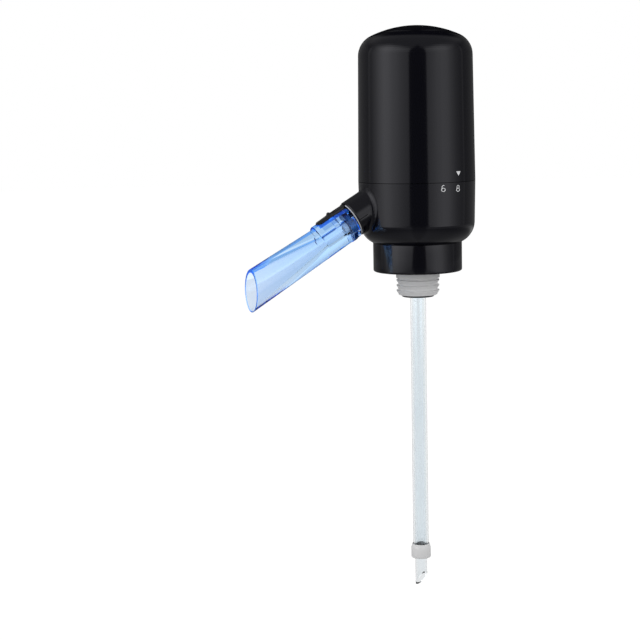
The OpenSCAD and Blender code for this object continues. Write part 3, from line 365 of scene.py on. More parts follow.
# Telescopic dip tube: two lengths of clear extruded tube, one sliding in the other,
# with faint die lines along them and a soft silicone gland at the joint.
clear_tube, place, shader = new_material("clear_tube")
die_lines = noise(stretched(place, 1, 1, 0.02), 1800.0, 1.0)
feed(
    shader,
    Base_Color=mix_colour(noise(place, 40.0), (0.9, 0.93, 0.95), (0.95, 0.97, 0.98)),
    Roughness=die_lines * 0.06 + 0.05,
    Normal=bump(place, die_lines, 0.04),
    IOR=1.46,
    Transmission_Weight=1.0,
)
for name in ("outer_dip_tube", "inner_dip_tube"):
    dress(nodes[name], clear_tube)
gland_bore = 3.35
gland_r = 4.2
gland_foot = -125.0
gland_top = -119.0
gland_edge = 0.4
gland_shoulder = [(gland_r, -1.7), (gland_r - 0.06, -1.4), (gland_r - 0.25, -1.0)]
gland_cone = [(gland_bore + 0.5, -0.15), (gland_bore + 0.3, 0), (gland_bore, 0)]
gland_profile = (
    [(gland_bore, gland_top), (gland_bore, gland_foot), (gland_r - gland_edge, gland_foot)]
    + arc(gland_r - gland_edge, gland_foot + gland_edge, gland_edge, -90, 0, 5)[1:]
    + [(r, gland_top + up) for r, up in gland_shoulder + gland_cone]
)
gland = turned("gland_ring", gland_profile, 96)
dress(gland, silicone)
seat(gland, "lower_head", "silicone", "tube_gland")

# Lower housing: the black cup with the slanted stub for the spout,
# moulded in glossy ABS in one piece with its lock ledges.
# The groove at the mould's parting line, along both sides of the stub, is dull.
spout_tilt = math.radians(29.5)
spout_height = 38.361


def spout_place(place):
    """The distances across, above and along the spout's axis of a point of the object."""
    rise = spout_height * MM
    upright = place.node("ShaderNodeMapping", {"vector_type": "POINT"}, {
        "Vector": place,
        "Location": (0, -rise * math.cos(spout_tilt), rise * math.sin(spout_tilt)),
        "Rotation": (-spout_tilt - math.pi / 2, 0, 0),
    })
    return [upright.part(axis) for axis in range(3)]


stub_rise = 1.4
parting_start = 29.0
parting_half = 0.16


def parting_line(place):
    """A mask of the parting line on the stub."""
    above, along = spout_place(place)[1:]
    near = abs(above - stub_rise * MM)
    return near.under(parting_half * MM) * along.over(parting_start * MM)


housing_plastic = moulded(
    "housing_plastic", black, faded_black,
    roughness=0.12, spread=0.04, grain=0.03, gloss=cool_gloss, dull=parting_line,
)
dress(nodes["lower_housing"], housing_plastic)

# Deck: the lid of the lower half, with the air socket and the air duct,
# moulded in the same charcoal nylon and held by three countersunk screws.
dress(nodes["lower_deck"], dark_grey)

# Spigot and seals in the stub: a dark insert that the spout is plugged on,
# with a pale silicone ring between it and the spout's throat,
# and a flat silicone ring on the stub's end. Painted shade covers that ring's face, so only its outer
# rim shows as a thin pale line.
washer_r = 7.45
rim_depth = 0.05


def radius(across, above):
    """The distance from an axis."""
    square = across * across + above * above
    return square.sum("SQRT", square)


# Painted shade: the stub gasket's face is near black, and only its outer rim keeps the pale silicone
# colour.
gasket_painted_shade, place, shader = new_material("gasket_painted_shade")
across, above, along = spout_place(place)
rim = radius(across, above - stub_rise * MM).over((washer_r - rim_depth) * MM)
fine = noise(place, 700.0)
feed(
    shader,
    Base_Color=mix_colour(rim, (0.01, 0.011, 0.013), (0.46, 0.47, 0.5)),
    Roughness=fine * 0.12 + 0.44,
    Normal=bump(place, fine, 0.12),
    IOR=1.41,
)
spigot_navy = moulded(
    "spigot_navy", (0.005, 0.02, 0.07), (0.006, 0.025, 0.08), roughness=0.4, spread=0.08, grain=0.05
)
dress(nodes["spout_spigot"], spigot_navy)
white_silicone = moulded(
    "white_silicone", (0.88, 0.87, 0.88), (0.93, 0.92, 0.93),
    roughness=0.5, spread=0.12, grain=0.1, grain_scale=700.0,
)
dress(nodes["nozzle_seal"], white_silicone)
dress(nodes["stub_gasket"], gasket_painted_shade)

# Release tongue: a black sprung lever in the slot on top of the spout,
# moulded in ABS with a thumb ridge, a bevelled tip and a round root.
# Its profile is drawn beside the spout's axis, as heights and distances along it.
lean = Matrix((
    (1, 0, 0, 0),
    (0, -math.sin(spout_tilt), -math.cos(spout_tilt), 0),
    (0, math.cos(spout_tilt), -math.sin(spout_tilt), spout_height * MM),
    (0, 0, 0, 1),
))


def lay_along_spout(piece, scale=1.0):
    """Turns a piece that was modelled along its own axis onto the spout's axis."""
    bpy.ops.object.select_all(action="DESELECT")
    piece.select_set(True)
    bpy.context.view_layer.objects.active = piece
    piece.matrix_world = lean @ Matrix.Scale(scale, 4)
    bpy.ops.object.transform_apply(location=True, rotation=True, scale=True)


def soften(width, segments, angle):
    """Bevels the edges of the mesh in edit mode that are sharper than an angle."""
    bpy.ops.mesh.select_all(action="DESELECT")
    bpy.ops.mesh.select_mode(type="EDGE")
    bpy.ops.mesh.edges_select_sharp(sharpness=math.radians(angle))
    bpy.ops.mesh.bevel(
        offset=width * MM, segments=segments, profile=0.5, affect="EDGES", clamp_overlap=True
    )


tongue_half = 2.1
tongue_edge = 0.22
tongue_blade = [(7.0, 45.6), (7.5, 47.8), (8.1, 47.2), (8.3, 41.85)]
ridge_front = [(8.45, 41.7), (8.95, 41.35), (9.0, 41.1)]
ridge_back = [(9.0, 40.7), (8.95, 40.45), (8.5, 40.1)]
blade_half = 0.8
root_place = (7.6, 30.0)
root_r = 1.0
root_angle = math.degrees(math.acos(blade_half / root_r))
tongue_back = [(root_place[0] + blade_half, 39.8)]
tongue_root = arc(*root_place, root_r, root_angle, -180 - root_angle, 12)
tongue_profile = tongue_blade + ridge_front + ridge_back + tongue_back + tongue_root
trace([(-tongue_half * MM, w * MM, s * MM) for w, s in tongue_profile])
bpy.ops.mesh.edge_face_add()
bpy.ops.mesh.extrude_region_move(TRANSFORM_OT_translate={"value": (2 * tongue_half * MM, 0, 0)})
bpy.ops.mesh.select_all(action="SELECT")
bpy.ops.mesh.normals_make_consistent(inside=False)
soften(tongue_edge, 3, 40)
tongue = finished("tongue_lever", 40)
lay_along_spout(tongue)
dress(tongue, black_plastic)
seat(tongue, "release_tongue", "black_gloss", "release_tongue")

# Spout: a clear blue aerating nozzle, moulded in styrene acrylonitrile and polished.
# A thick ring with the tongue's slot plugs on the spigot, then a throat with an air inlet
# opens into a flared bore, and the mouth is cut upright. It is cut in mm and scaled at the end.
def carve(piece, tool, operation="DIFFERENCE"):
    """Cuts a tool out of a piece, or adds it to the piece, and deletes the tool."""
    modifier = piece.modifiers.new("carve", "BOOLEAN")
    modifier.operation = operation
    modifier.solver = "EXACT"
    modifier.object = tool
    bpy.context.view_layer.objects.active = piece
    bpy.ops.object.modifier_apply(modifier=modifier.name)
    bpy.data.objects.remove(tool)


def block(low, high, edge=0.0):
    """A cutting block between two corners in mm, with rounded edges."""
    bpy.ops.object.select_all(action="DESELECT")
    bpy.ops.mesh.primitive_cube_add(size=1, enter_editmode=True)
    bpy.ops.transform.resize(value=[b - a for a, b in zip(low, high)])
    bpy.ops.transform.translate(value=[(a + b) / 2 for a, b in zip(low, high)])
    if edge:
        bpy.ops.mesh.bevel(offset=edge, segments=4, profile=0.5, affect="EDGES")
    return finished("cutter", unit=1)


around = 192
past = 20
hair = 0.02
tube_start = 33.8
tube_root = 6.48
tube_flare = 0.0227
mouth_s = 85.9
lip_s = 91.5
mouth_wall = 0.8
tube_mouth = tube_root + tube_flare * (mouth_s - tube_start)
tube_lip = tube_root + tube_flare * (lip_s - tube_start)
ring_start = 34.3
ring_end = 50.6
ring_r = 7.1
ring_rise = 0.7
ring_chamfer = 0.3
ring_round = 0.9
tube_profile = [(0, ring_start + 1), (tube_root, ring_start + 1), (tube_lip, lip_s), (0, lip_s)]
spout = turned("spout_nozzle", tube_profile, around, 1)
ring_profile = (
    [(0, ring_start)]
    + arc(ring_r - ring_chamfer, ring_start + ring_chamfer, ring_chamfer, -90, 0, 4)
    + arc(ring_r - ring_round, ring_end - ring_round, ring_round, 0, 90, 16)
    + [(0, ring_end)]
)
ring = turned("ring", ring_profile, around, 1)
ring.location = (0, ring_rise, 0)
carve(spout, ring, "UNION")

foot_start = 36.1
foot_end = 38.7
foot_root = ring_r - 1
foot_r = ring_r + 0.35
foot_edge = 0.2
feet_top = -2.35
feet_gap = 1.3
feet_cut = (30, 50)
foot_profile = (
    [(foot_root, foot_start), (foot_r - foot_edge, foot_start), (foot_r, foot_start + foot_edge)]
    + [(foot_r, foot_end - foot_edge), (foot_r - foot_edge, foot_end), (foot_root, foot_end)]
    + [(foot_root, foot_start)]
)
feet = turned("feet", foot_profile, around, 1)
feet.location = (0, ring_rise, 0)
carve(feet, block((-past, feet_top, feet_cut[0]), (past, past, feet_cut[1])))
carve(feet, block((-feet_gap, -past, feet_cut[0]), (feet_gap, 0, feet_cut[1])))
carve(spout, feet, "UNION")

lead_r = 5.2
socket_r = 4.78
socket_end = 37.4
seal_r = 2.3
seal_end = 39.4
throat_r = 2.0
throat_end = 49.2
bore_slope = (tube_mouth - mouth_wall - throat_r) / (mouth_s - throat_end)
bore_lip = throat_r + bore_slope * (lip_s + 1 - throat_end)
bore_profile = (
    [(0, ring_start - 1), (lead_r, ring_start - 1), (lead_r, ring_start - hair)]
    + [(socket_r, ring_start + ring_chamfer), (socket_r, socket_end), (seal_r, socket_end)]
    + [(seal_r, seal_end), (throat_r, seal_end), (throat_r, throat_end)]
    + [(bore_lip, lip_s + 1), (0, lip_s + 1)]
)
carve(spout, turned("bore", bore_profile, around, 1))

slot_half = 2.4
slot_floor = 5.2
slot_end = 48.3
slot_edge = 0.35
inlet_half = 0.9
inlet_floor = 0.3
inlet_start = 39.9
inlet_end = 42.3
notch_depth = 1.5
notch_root = 3.7
cut_edge = 0.25
slot_low = (-slot_half, slot_floor, ring_start - 6)
carve(spout, block(slot_low, (slot_half, past, slot_end), slot_edge))
inlet_low = (-inlet_half, inlet_floor, inlet_start)
carve(spout, block(inlet_low, (inlet_half, slot_floor + 1, inlet_end), cut_edge))
for angle, half in ((45, 1.8), (-39, 1.5), (135, 1.8), (219, 1.5)):
    notch_low = (notch_root, -half, ring_start - 2)
    notch = block(notch_low, (past, half, ring_start + notch_depth), cut_edge)
    notch.rotation_euler = (0, 0, math.radians(angle))
    carve(spout, notch)
mouth_cut = (90, 40, 140)
mouth_low = (-past, -mouth_cut[0], mouth_s * math.cos(spout_tilt))
mouth = block(mouth_low, (past, mouth_cut[1], mouth_cut[2]))
mouth.rotation_euler = (-spout_tilt, 0, 0)
carve(spout, mouth)
lay_along_spout(spout, MM)
mouth_y = -mouth_s * math.cos(spout_tilt) * MM
rim_flat = 0.005
rim_step = 0.4
rim_round = 0.2
spout_weld = 0.004
flat_angle = 0.3
crease_angle = 6


def pick_mouth(kind):
    """Selects the faces in the plane of the spout's mouth, or the edges round them, in edit mode."""
    bpy.ops.object.mode_set(mode="EDIT")
    bpy.ops.mesh.select_mode(type=kind)
    bpy.ops.mesh.select_all(action="DESELECT")
    bpy.ops.object.mode_set(mode="OBJECT")
    corners = spout.data.vertices
    for part in spout.data.polygons if kind == "FACE" else spout.data.edges:
        places = [corners[i].co for i in part.vertices]
        flat = all(place.y < mouth_y + rim_flat * MM for place in places)
        part.select = flat and (kind == "FACE" or (places[0] - places[1]).length < rim_step * MM)
    bpy.ops.object.mode_set(mode="EDIT")


bpy.ops.object.mode_set(mode="EDIT")
bpy.ops.mesh.select_all(action="SELECT")
bpy.ops.mesh.remove_doubles(threshold=spout_weld * MM)
bpy.ops.mesh.dissolve_limited(angle_limit=math.radians(flat_angle))
pick_mouth("FACE")
bpy.ops.mesh.delete(type="FACE")
pick_mouth("EDGE")
bpy.ops.mesh.bridge_edge_loops()
pick_mouth("EDGE")
bpy.ops.mesh.bevel(offset=rim_round * MM, segments=3, profile=0.5, affect="EDGES")
bpy.ops.object.mode_set(mode="OBJECT")
bpy.ops.object.shade_smooth_by_angle(angle=math.radians(crease_angle))

# Painted shade and glow on the spout: a deeper blue is painted on the slot, the feet, the mouth's rim
# and the rails, where thick clear plastic looks darker, and a painted glow lights the mouth's rim and
# the slot's lower edges. Each mask of the spout's plastic reaches a little past the faces that it
# paints.
foot_shade, rim_shade, rail_shade, slot_painted_glow = 0.6, 0.85, 0.7, 0.5
clear_blue, place, shader = new_material("clear_blue_plastic")
across, above, along = spout_place(place)
from_axis = radius(across, above)
from_ring = radius(across, above - ring_rise * MM)
high = above.over((slot_floor - 0.1) * MM)
in_socket = from_axis.under((socket_r + 0.12) * MM) * along.under((socket_end + 0.2) * MM)
in_slot = abs(across).under((slot_half + 0.05) * MM) * high
on_foot = from_ring.over((ring_r + 0.1) * MM) * along.under((foot_end + 0.3) * MM)
on_rim = place.part(1).under(mouth_y + 0.3 * MM)
on_rail = from_ring.over((ring_r - 0.15) * MM) * high
on_rail = on_rail * along.under((slot_end - 0.4) * MM) * (1 - in_slot)
# Painted shade: how much of the deeper blue each place of the spout gets
deep_shade = in_slot + on_foot * foot_shade + on_rim * rim_shade + on_rail * rail_shade
# Painted glow: the mouth's rim and the lower edges of the slot emit blue light, though they are no
# lamp
painted_glow = on_rim + in_slot * above.under((slot_floor + 1.7) * MM) * slot_painted_glow
clear_tint = mix_colour(noise(place, 50.0), (0.73, 0.83, 0.97), (0.77, 0.85, 0.97))
tint_and_shade = mix_colour(deep_shade, clear_tint, (0.1, 0.3, 0.75))
feed(
    shader,
    Base_Color=mix_colour(in_socket, tint_and_shade, (0.014, 0.066, 0.19)),
    Metallic=in_socket,
    Roughness=in_socket * 0.25 + noise(place, 400.0) * 0.02 + 0.01,
    Normal=bump(place, noise(place, 120.0), 0.02, 0.05 * MM),
    Emission_Color=mix_colour(painted_glow, (0.0, 0.0, 0.0), (0.014, 0.1, 0.36)),
    Emission_Strength=1.0,
    IOR=1.5,
    Transmission_Weight=1.0,
)
tint = clear_blue.node_tree.nodes.new("ShaderNodeVolumeAbsorption")
tint.inputs["Color"].default_value = (0.1, 0.6, 0.96, 1)
tint.inputs["Density"].default_value = 50.0
output = [n for n in clear_blue.node_tree.nodes if n.type == "OUTPUT_MATERIAL"][0]
clear_blue.node_tree.links.new(tint.outputs[0], output.inputs["Volume"])
dress(spout, clear_blue)
seat(spout, "spout", "clear_blue", "spout")

# Chassis of the power head: a charcoal nylon plate with the lock ring, pump cradle, cell clip
# and pillars, an O-ring on its air spigot and a silicone sleeve for the pump's outlet.
dress(nodes["inner_frame"], dark_grey)
black_rubber = moulded(
    "black_rubber", (0.012, 0.012, 0.013), (0.022, 0.022, 0.023),
    roughness=0.6, spread=0.15, grain=0.2, grain_scale=1200.0,
)
dress(nodes["air_joint_seal"], black_rubber)
dress(nodes["air_sleeve"], silicone)

# Air pump: white moulded head, case and drive plate round a black rubber diaphragm,
# with a grey valve plate between them, clamped by three screws.
pump_white = moulded(
    "pump_white", (0.62, 0.62, 0.58), (0.7, 0.7, 0.66),
    roughness=0.42, spread=0.12, grain=0.15, grain_scale=1400.0,
)
for name in ("pump_cover", "pump_housing", "wobble_plate", "pump_eccentric", "motor_end_cap"):
    dress(nodes[name], pump_white)
valve_grey = moulded(
    "valve_grey", (0.25, 0.3, 0.34), (0.32, 0.37, 0.41), roughness=0.4, spread=0.1, grain=0.1
)
dress(nodes["pump_valve_plate"], valve_grey)
dress(nodes["pump_diaphragm"], black_rubber)

# Motor: a drawn steel can with fine marks from the draw and a ground steel shaft,
# and its two insulated leads, red and black, soldered to the board.
can_steel = metal(
    "motor_can_steel", (0.52, 0.53, 0.54), (0.42, 0.43, 0.44), roughness=0.36, along=(1, 1, 0.05)
)
dress(nodes["motor_can"], can_steel)
shaft_steel = metal(
    "shaft_steel", (0.7, 0.71, 0.72), (0.6, 0.61, 0.62),
    roughness=0.2, along=(0.05, 0.05, 1), scale=2400.0,
)
dress(nodes["motor_shaft"], shaft_steel)
lead_pvc, place, shader = new_material("lead_insulation")
red_side = place.part(0).over(0.0)
feed(
    shader,
    Base_Color=mix_colour(red_side, (0.014, 0.014, 0.015), (0.42, 0.02, 0.018)),
    Roughness=noise(place, 300.0) * 0.12 + 0.35,
    IOR=1.5,
)
dress(nodes["motor_leads"], lead_pvc)

# Cell: a steel can in a green shrink sleeve that leaves its upper end bare,
# with nickel strips spot-welded to both ends.
sleeve_top = 82.5
cell_sleeve, place, shader = new_material("cell_sleeve")
bare = place.part(2).over(sleeve_top * MM)
wrinkle = noise(stretched(place, 1, 1, 0.3), 260.0)
feed(
    shader,
    Base_Color=mix_colour(bare, (0.03, 0.2, 0.1), (0.6, 0.6, 0.6)),
    Metallic=bare,
    Roughness=wrinkle * 0.15 + 0.25,
    Normal=bump(place, wrinkle, 0.1, 0.05 * MM),
)
dress(nodes["battery_cell"], cell_sleeve)
nickel_strip = metal(
    "nickel_strip", (0.66, 0.63, 0.57), (0.55, 0.53, 0.48), roughness=0.28, along=(0.1, 1, 0.1)
)
dress(nodes["battery_tabs"], nickel_strip)

# Control board: green solder mask over etched copper, with bare gold-plated pads.
# The switch with its red plunger, the nickel charging socket and the clear light pipe
# are soldered or clipped to it.
board_mask, place, shader = new_material("board_solder_mask")
brick = {"Vector": place, "Scale": 700.0, "Mortar Size": 0.06}
tracks = place.node("ShaderNodeTexBrick", {}, brick, out=1)
pads = place.node("ShaderNodeTexVoronoi", {}, {"Vector": place, "Scale": 260.0}).under(0.12)
mask_green = mix_colour(tracks, (0.01, 0.09, 0.035), (0.02, 0.16, 0.06))
feed(
    shader,
    Base_Color=mix_colour(pads, mask_green, (0.7, 0.55, 0.25)),
    Metallic=pads,
    Roughness=tracks * 0.1 + 0.28,
    Normal=bump(place, tracks, 0.1, 0.03 * MM),
)
dress(nodes["control_board"], board_mask)
switch_black = moulded(
    "switch_black", (0.012, 0.012, 0.013), (0.018, 0.018, 0.019), roughness=0.4, spread=0.1, grain=0.1
)
dress(nodes["tact_switch"], switch_black)
plunger_red = moulded(
    "plunger_red", (0.24, 0.016, 0.016), (0.3, 0.022, 0.02), roughness=0.38, spread=0.1, grain=0.08
)
dress(nodes["switch_plunger"], plunger_red)
socket_nickel = metal(
    "socket_nickel", (0.6, 0.6, 0.58), (0.5, 0.5, 0.48), roughness=0.26, along=(0.1, 1, 1)
)
dress(nodes["usb_socket"], socket_nickel)
light_pipe, place, shader = new_material("light_pipe")
feed(
    shader,
    Base_Color=mix_colour(noise(place, 300.0), (0.82, 0.86, 0.88), (0.9, 0.93, 0.94)),
    Roughness=noise(place, 900.0) * 0.1 + 0.2,
    IOR=1.5,
    Transmission_Weight=0.6,
)
dress(nodes["charge_light"], light_pipe)

# Upper housing and press button: the domed black bell and the round cap in its top,
# moulded in the same glossy ABS as the lower half.
# Four screws hold the bell to the chassis, and the button slides in its opening.
for name in ("upper_housing", "top_button"):
    dress(nodes[name], black_plastic)

# Printed marks: a pointer on the upper housing over a closed and an open padlock on the lower one.
# Pale grey pad-print ink, a thin film that follows the curve of the housing.
ink = moulded(
    "pale_ink", (0.78, 0.79, 0.81), (0.86, 0.87, 0.88),
    roughness=0.55, spread=0.1, grain=0.15, grain_scale=4000.0,
)
body_r = 24.5
film_gap = 0.015
film_t = 0.03


def print_on(name, housing, body, azimuth, z):
    """Lays the flat mark that is in edit mode on a housing, as a thin film."""
    start_r = body_r + 0.4
    turn = math.radians(azimuth)
    bpy.ops.mesh.select_all(action="SELECT")
    bpy.ops.mesh.remove_doubles(threshold=same_point)
    bpy.ops.object.mode_set(mode="OBJECT")
    mark = bpy.context.object
    mark.location = Matrix.Rotation(turn, 3, "Z") @ Vector((start_r * MM, 0, z * MM))
    mark.rotation_euler = (0, 0, turn)
    bpy.ops.object.transform_apply(location=True, rotation=True, scale=True)
    wrap = mark.modifiers.new("wrap", "SHRINKWRAP")
    wrap.target = nodes[housing]
    wrap.wrap_method = "NEAREST_SURFACEPOINT"
    wrap.offset = film_gap * MM
    bpy.ops.object.modifier_apply(modifier=wrap.name)
    film = mark.modifiers.new("film", "SOLIDIFY")
    film.thickness = film_t * MM
    film.offset = 1.0
    bpy.ops.object.modifier_apply(modifier=film.name)
    bpy.ops.object.mode_set(mode="EDIT")
    mark = finished(name, 40)
    dress(mark, ink)
    seat(mark, body, "black_gloss")


pointer_w = 2.4
pointer_h = 1.85
pointer_edge = 0.07
pointer = [(-pointer_w / 2, pointer_h / 2), (0, -pointer_h / 2), (pointer_w / 2, pointer_h / 2)]
trace([(0, y * MM, z * MM) for y, z in pointer])
bpy.ops.mesh.edge_face_add()
bpy.ops.mesh.bevel(offset=pointer_edge * MM, segments=3, affect="VERTICES")
bpy.ops.mesh.select_all(action="SELECT")
bpy.ops.mesh.quads_convert_to_tris()
bpy.ops.mesh.subdivide(number_cuts=5)
print_on("pointer_mark", "upper_housing", "power_head", azimuth=18.7, z=41.25)


def padlock(name, azimuth, z, opened):
    """A round padlock with a keyhole; an open one has its bow cut short on one side."""
    hole, growth, squash, body_z = 0.71, 1.19, 0.8, -0.5
    bow_z, bow_in, bow_out, bow_step = 0.66, 0.51, 0.76, 9
    foot_out, foot_in = 0.05, 0.27
    bpy.ops.object.select_all(action="DESELECT")
    bpy.ops.mesh.primitive_circle_add(
        vertices=48, radius=hole * MM, fill_type="NOTHING", rotation=(0, math.pi / 2, 0)
    )
    bpy.ops.object.transform_apply(location=True, rotation=True, scale=True)
    bpy.ops.object.mode_set(mode="EDIT")
    bpy.ops.mesh.select_all(action="SELECT")
    for band in range(2):
        bpy.ops.mesh.extrude_region_move()
        bpy.ops.transform.resize(value=(1, growth, growth), center_override=(0, 0, 0))
    bpy.ops.mesh.select_all(action="SELECT")
    bpy.ops.transform.resize(value=(1, 1, squash), center_override=(0, 0, 0))
    bpy.ops.transform.translate(value=(0, 0, body_z * MM))
    lock = bpy.context.object
    bpy.ops.object.mode_set(mode="OBJECT")
    steps = [math.radians(180 - bow_step * i) for i in range(16 if opened else 21)]
    bow = [(-bow_out, foot_out)]
    bow += [(bow_out * math.cos(a), bow_z + bow_out * math.sin(a)) for a in steps]
    if not opened:
        bow += [(bow_out, foot_out), (bow_in, foot_in)]
    bow += [(bow_in * math.cos(a), bow_z + bow_in * math.sin(a)) for a in steps[::-1]]
    bow += [(-bow_in, foot_in), (-bow_out, foot_out)]
    trace([(0, side * MM, up * MM) for side, up in bow])
    bpy.ops.mesh.edge_face_add()
    bpy.ops.mesh.quads_convert_to_tris()
    bpy.ops.mesh.subdivide(number_cuts=1)
    bpy.ops.object.mode_set(mode="OBJECT")
    lock.select_set(True)
    bpy.context.view_layer.objects.active = lock
    bpy.ops.object.join()
    bpy.ops.object.mode_set(mode="EDIT")
    print_on(name, "lower_housing", "lower_head", azimuth, z)


padlock("closed_padlock_mark", azimuth=17.9, z=35.17, opened=False)
padlock("open_padlock_mark", azimuth=0.7, z=35.45, opened=True)

# Studio: the camera of the picture, a pale world with a dark band for the reflections,
# two soft boxes in front of the part with a fill behind each of them,
# and a pale floor that keeps the part's shadow.
camera_azimuth = -25.4
camera_data = bpy.data.cameras.new("camera")
camera_data.sensor_width = 36.0
camera_data.lens = 84.375
camera = bpy.data.objects.new("camera", camera_data)
camera.location = (0.57135, -0.27118, 0.0689)
camera.rotation_euler = [math.radians(a) for a in (81.948, 1.203, 68.227)]
bpy.context.scene.collection.objects.link(camera)
bpy.context.scene.camera = camera

world = bpy.data.worlds.new("studio")
bpy.context.scene.world = world
world.use_nodes = True
tree = world.node_tree
tree.nodes.clear()


def ray_levels(tree, seen, through, glossy, other):
    """A strength for the camera's rays, those through clear pieces, reflections and the rest."""
    rays = tree.nodes.new("ShaderNodeLightPath").outputs
    camera_ray = Wire(tree, rays["Is Camera Ray"])
    clear_ray = Wire(tree, rays["Is Transmission Ray"])
    glossy_ray = Wire(tree, rays["Is Glossy Ray"]) * (1 - clear_ray)
    level = other + camera_ray * (seen - other) + clear_ray * (through - other)
    return level + glossy_ray * (glossy - other)


def ease(wire, low, high, start=0.0):
    """A smooth step of a value from a start at one limit to 1 at the other."""
    sockets = {0: wire, 1: low, 2: high, 3: start}
    return wire.node("ShaderNodeMapRange", {"interpolation_type": "SMOOTHSTEP"}, sockets)


def along_way(aim, way):
    """How far a vector goes along a direction."""
    return aim.node("ShaderNodeVectorMath", {"operation": "DOT_PRODUCT"}, {0: aim, 1: way}, out=1)


stripe_side, stripe_flare, stripe_peak = 0.075, 1.5, 0.45
ceiling_drop, ceiling_level, facing_level, dark_level = 0.2, 0.22, 0.04, 0.006
clear_level, wall_level = 0.95, 0.25
front_angle = math.radians(camera_azimuth)
front = Vector((math.cos(front_angle), math.sin(front_angle), 0))
right = Vector((-front.y, front.x, 0))
dark_way = (Vector((0, 0, 1)) - front + right * 0.11).normalized()
aim = Wire(tree, tree.nodes.new("ShaderNodeTexCoord").outputs["Generated"])
rise = aim.part(2)
wall = ease(abs(rise), 0.65, 0.25)
facing = ease(along_way(aim, front), -0.3, 0.5)
gap = abs(along_way(aim, right) - stripe_side) * stripe_flare
peak = gap.sum("MINIMUM", gap, stripe_peak)
ceiling = ease(rise + ceiling_drop + facing * (peak - ceiling_drop), 0.6, 0.85)
dark_ceiling = ease(along_way(aim, dark_way), 0.86, 0.97)
mirrored = dark_level + facing * facing_level + ceiling * (1 - dark_ceiling) * ceiling_level
through = clear_level + wall * wall_level
level = ray_levels(tree, seen=1.0, through=through, glossy=mirrored, other=0.75)
shade = level.node("ShaderNodeBackground", {}, {"Color": (1, 1, 1, 1), "Strength": level})
tree.links.new(shade.socket, tree.nodes.new("ShaderNodeOutputWorld").inputs["Surface"])


def soft_box(name, azimuth, elevation, distance, width, height, stops, foot_end, foot_level):
    """A rectangular lamp that looks at the middle of the body, with its glow along its width."""
    watts, foot_fade, top_start, body_middle = 1.06 * math.pi, 0.25, 0.66, 0.05
    lamp = bpy.data.lights.new(name, "AREA")
    lamp.shape = "RECTANGLE"
    lamp.size = width
    lamp.size_y = height
    lamp.energy = watts * width * height
    lamp.use_nodes = True
    tree = lamp.node_tree
    tree.nodes.clear()
    spot = Wire(tree, tree.nodes.new("ShaderNodeNewGeometry").outputs["Parametric"])
    greys = [(place, (level / 2, level / 2, level / 2)) for place, level in stops]
    ramp = spot.node("ShaderNodeValToRGB", {"stops": greys}, {0: spot.part(0)})
    top = ease(spot.part(1), 1.0, top_start)
    foot = ease(spot.part(1), foot_end - foot_fade, foot_end, foot_level)
    glow = ramp.node("ShaderNodeEmission", {}, {"Color": ramp, "Strength": top * foot * 2})
    tree.links.new(glow.socket, tree.nodes.new("ShaderNodeOutputLight").inputs["Surface"])
    holder = bpy.data.objects.new(name, lamp)
    a, e = math.radians(azimuth), math.radians(elevation)
    away = Vector((math.cos(a) * math.cos(e), math.sin(a) * math.cos(e), math.sin(e)))
    holder.location = Vector((0, 0, body_middle)) + away * distance
    holder.rotation_euler = away.to_track_quat("Z", "Y").to_euler()
    bpy.context.scene.collection.objects.link(holder)


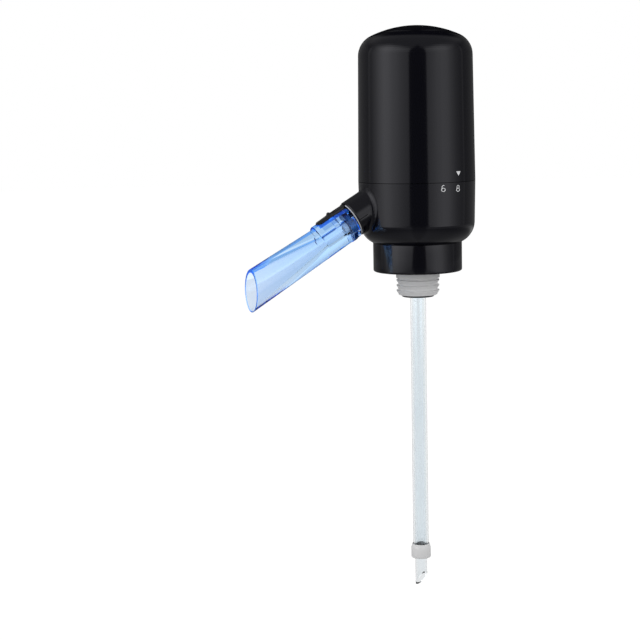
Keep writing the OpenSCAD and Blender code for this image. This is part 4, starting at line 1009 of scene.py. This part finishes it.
left_glow = [(0, 0.2), (0.15, 0.26), (0.28, 0.57), (0.38, 0.98), (0.46, 1.29), (0.54, 1.26)]
left_glow += [(0.61, 1.02), (0.69, 0.87), (0.78, 0.66), (0.88, 0.53), (1, 0.45)]
right_glow = [(0, 0.5), (0.11, 0.56), (0.22, 0.71), (0.32, 0.89), (0.41, 0.93), (0.5, 0.84)]
right_glow += [(0.59, 0.55), (0.7, 0.31), (0.84, 0.175), (1, 0.12)]
soft_box(
    "left_box", camera_azimuth - 60, elevation=8, distance=1.3,
    width=2.8, height=2.5, stops=left_glow, foot_end=0.49, foot_level=0.6,
)
soft_box(
    "right_box", camera_azimuth + 65, elevation=6, distance=1.3,
    width=2.44, height=2.4, stops=right_glow, foot_end=0.36, foot_level=0.55,
)
soft_box(
    "left_fill", camera_azimuth - 135, elevation=6, distance=1.6,
    width=1.9, height=2.2, stops=[(0, 0.12), (1, 0.15)], foot_end=0.4, foot_level=0.5,
)
soft_box(
    "right_fill", camera_azimuth + 135, elevation=6, distance=1.6,
    width=1.9, height=2.2, stops=[(0, 0.11), (1, 0.09)], foot_end=0.4, foot_level=0.5,
)

floor_r = 6.0
floor_z = -0.26
near_lit, far_lit, plain_lit = 0.09, 0.36, 0.06
bpy.ops.mesh.primitive_circle_add(
    vertices=96, radius=floor_r, fill_type="NGON", location=(0, 0, floor_z)
)
floor = bpy.context.object
floor.name = "floor"
floor_white = bpy.data.materials.new("floor_white")
floor_white.use_nodes = True
tree = floor_white.node_tree
tree.nodes.clear()
spot = Wire(tree, tree.nodes.new("ShaderNodeTexCoord").outputs["Object"])
away = spot.node("ShaderNodeVectorMath", {"operation": "LENGTH"}, {0: spot}, out=1)
near = ease(away, 0.6, 0.15)
turn = away.sum("DIVIDE", along_way(spot, right), away + 0.001)
off_stripe = abs(turn - stripe_side)
beside = ease(off_stripe, 0.2, 0.32) * (1.15 - off_stripe * 0.95)
lit = beside * (near_lit + ease(away, 0.75, 1.1) * far_lit) + plain_lit
mirrored = 0.05 + near * 0.12 + lit * ease(away, 1.9, 1.3)
through = clear_level - near * 0.2
level = ray_levels(tree, seen=0.82, through=through, glossy=mirrored, other=0.1)
glow = level.node("ShaderNodeEmission", {}, {"Color": (1, 1, 1, 1), "Strength": level})
reflected = Wire(tree, tree.nodes.new("ShaderNodeLightPath").outputs["Is Glossy Ray"])
grey = mix_colour(reflected, (0.25, 0.25, 0.25), (0.0, 0.0, 0.0))
matt = level.node("ShaderNodeBsdfDiffuse", {}, {"Color": grey})
both = level.node("ShaderNodeAddShader", {}, {0: glow, 1: matt})
tree.links.new(both.socket, tree.nodes.new("ShaderNodeOutputMaterial").inputs["Surface"])
dress(floor, floor_white)

scene = bpy.context.scene
scene.view_settings.view_transform = "Standard"
scene.cycles.max_bounces = 24
scene.cycles.glossy_bounces = 16
scene.cycles.transmission_bounces = 24
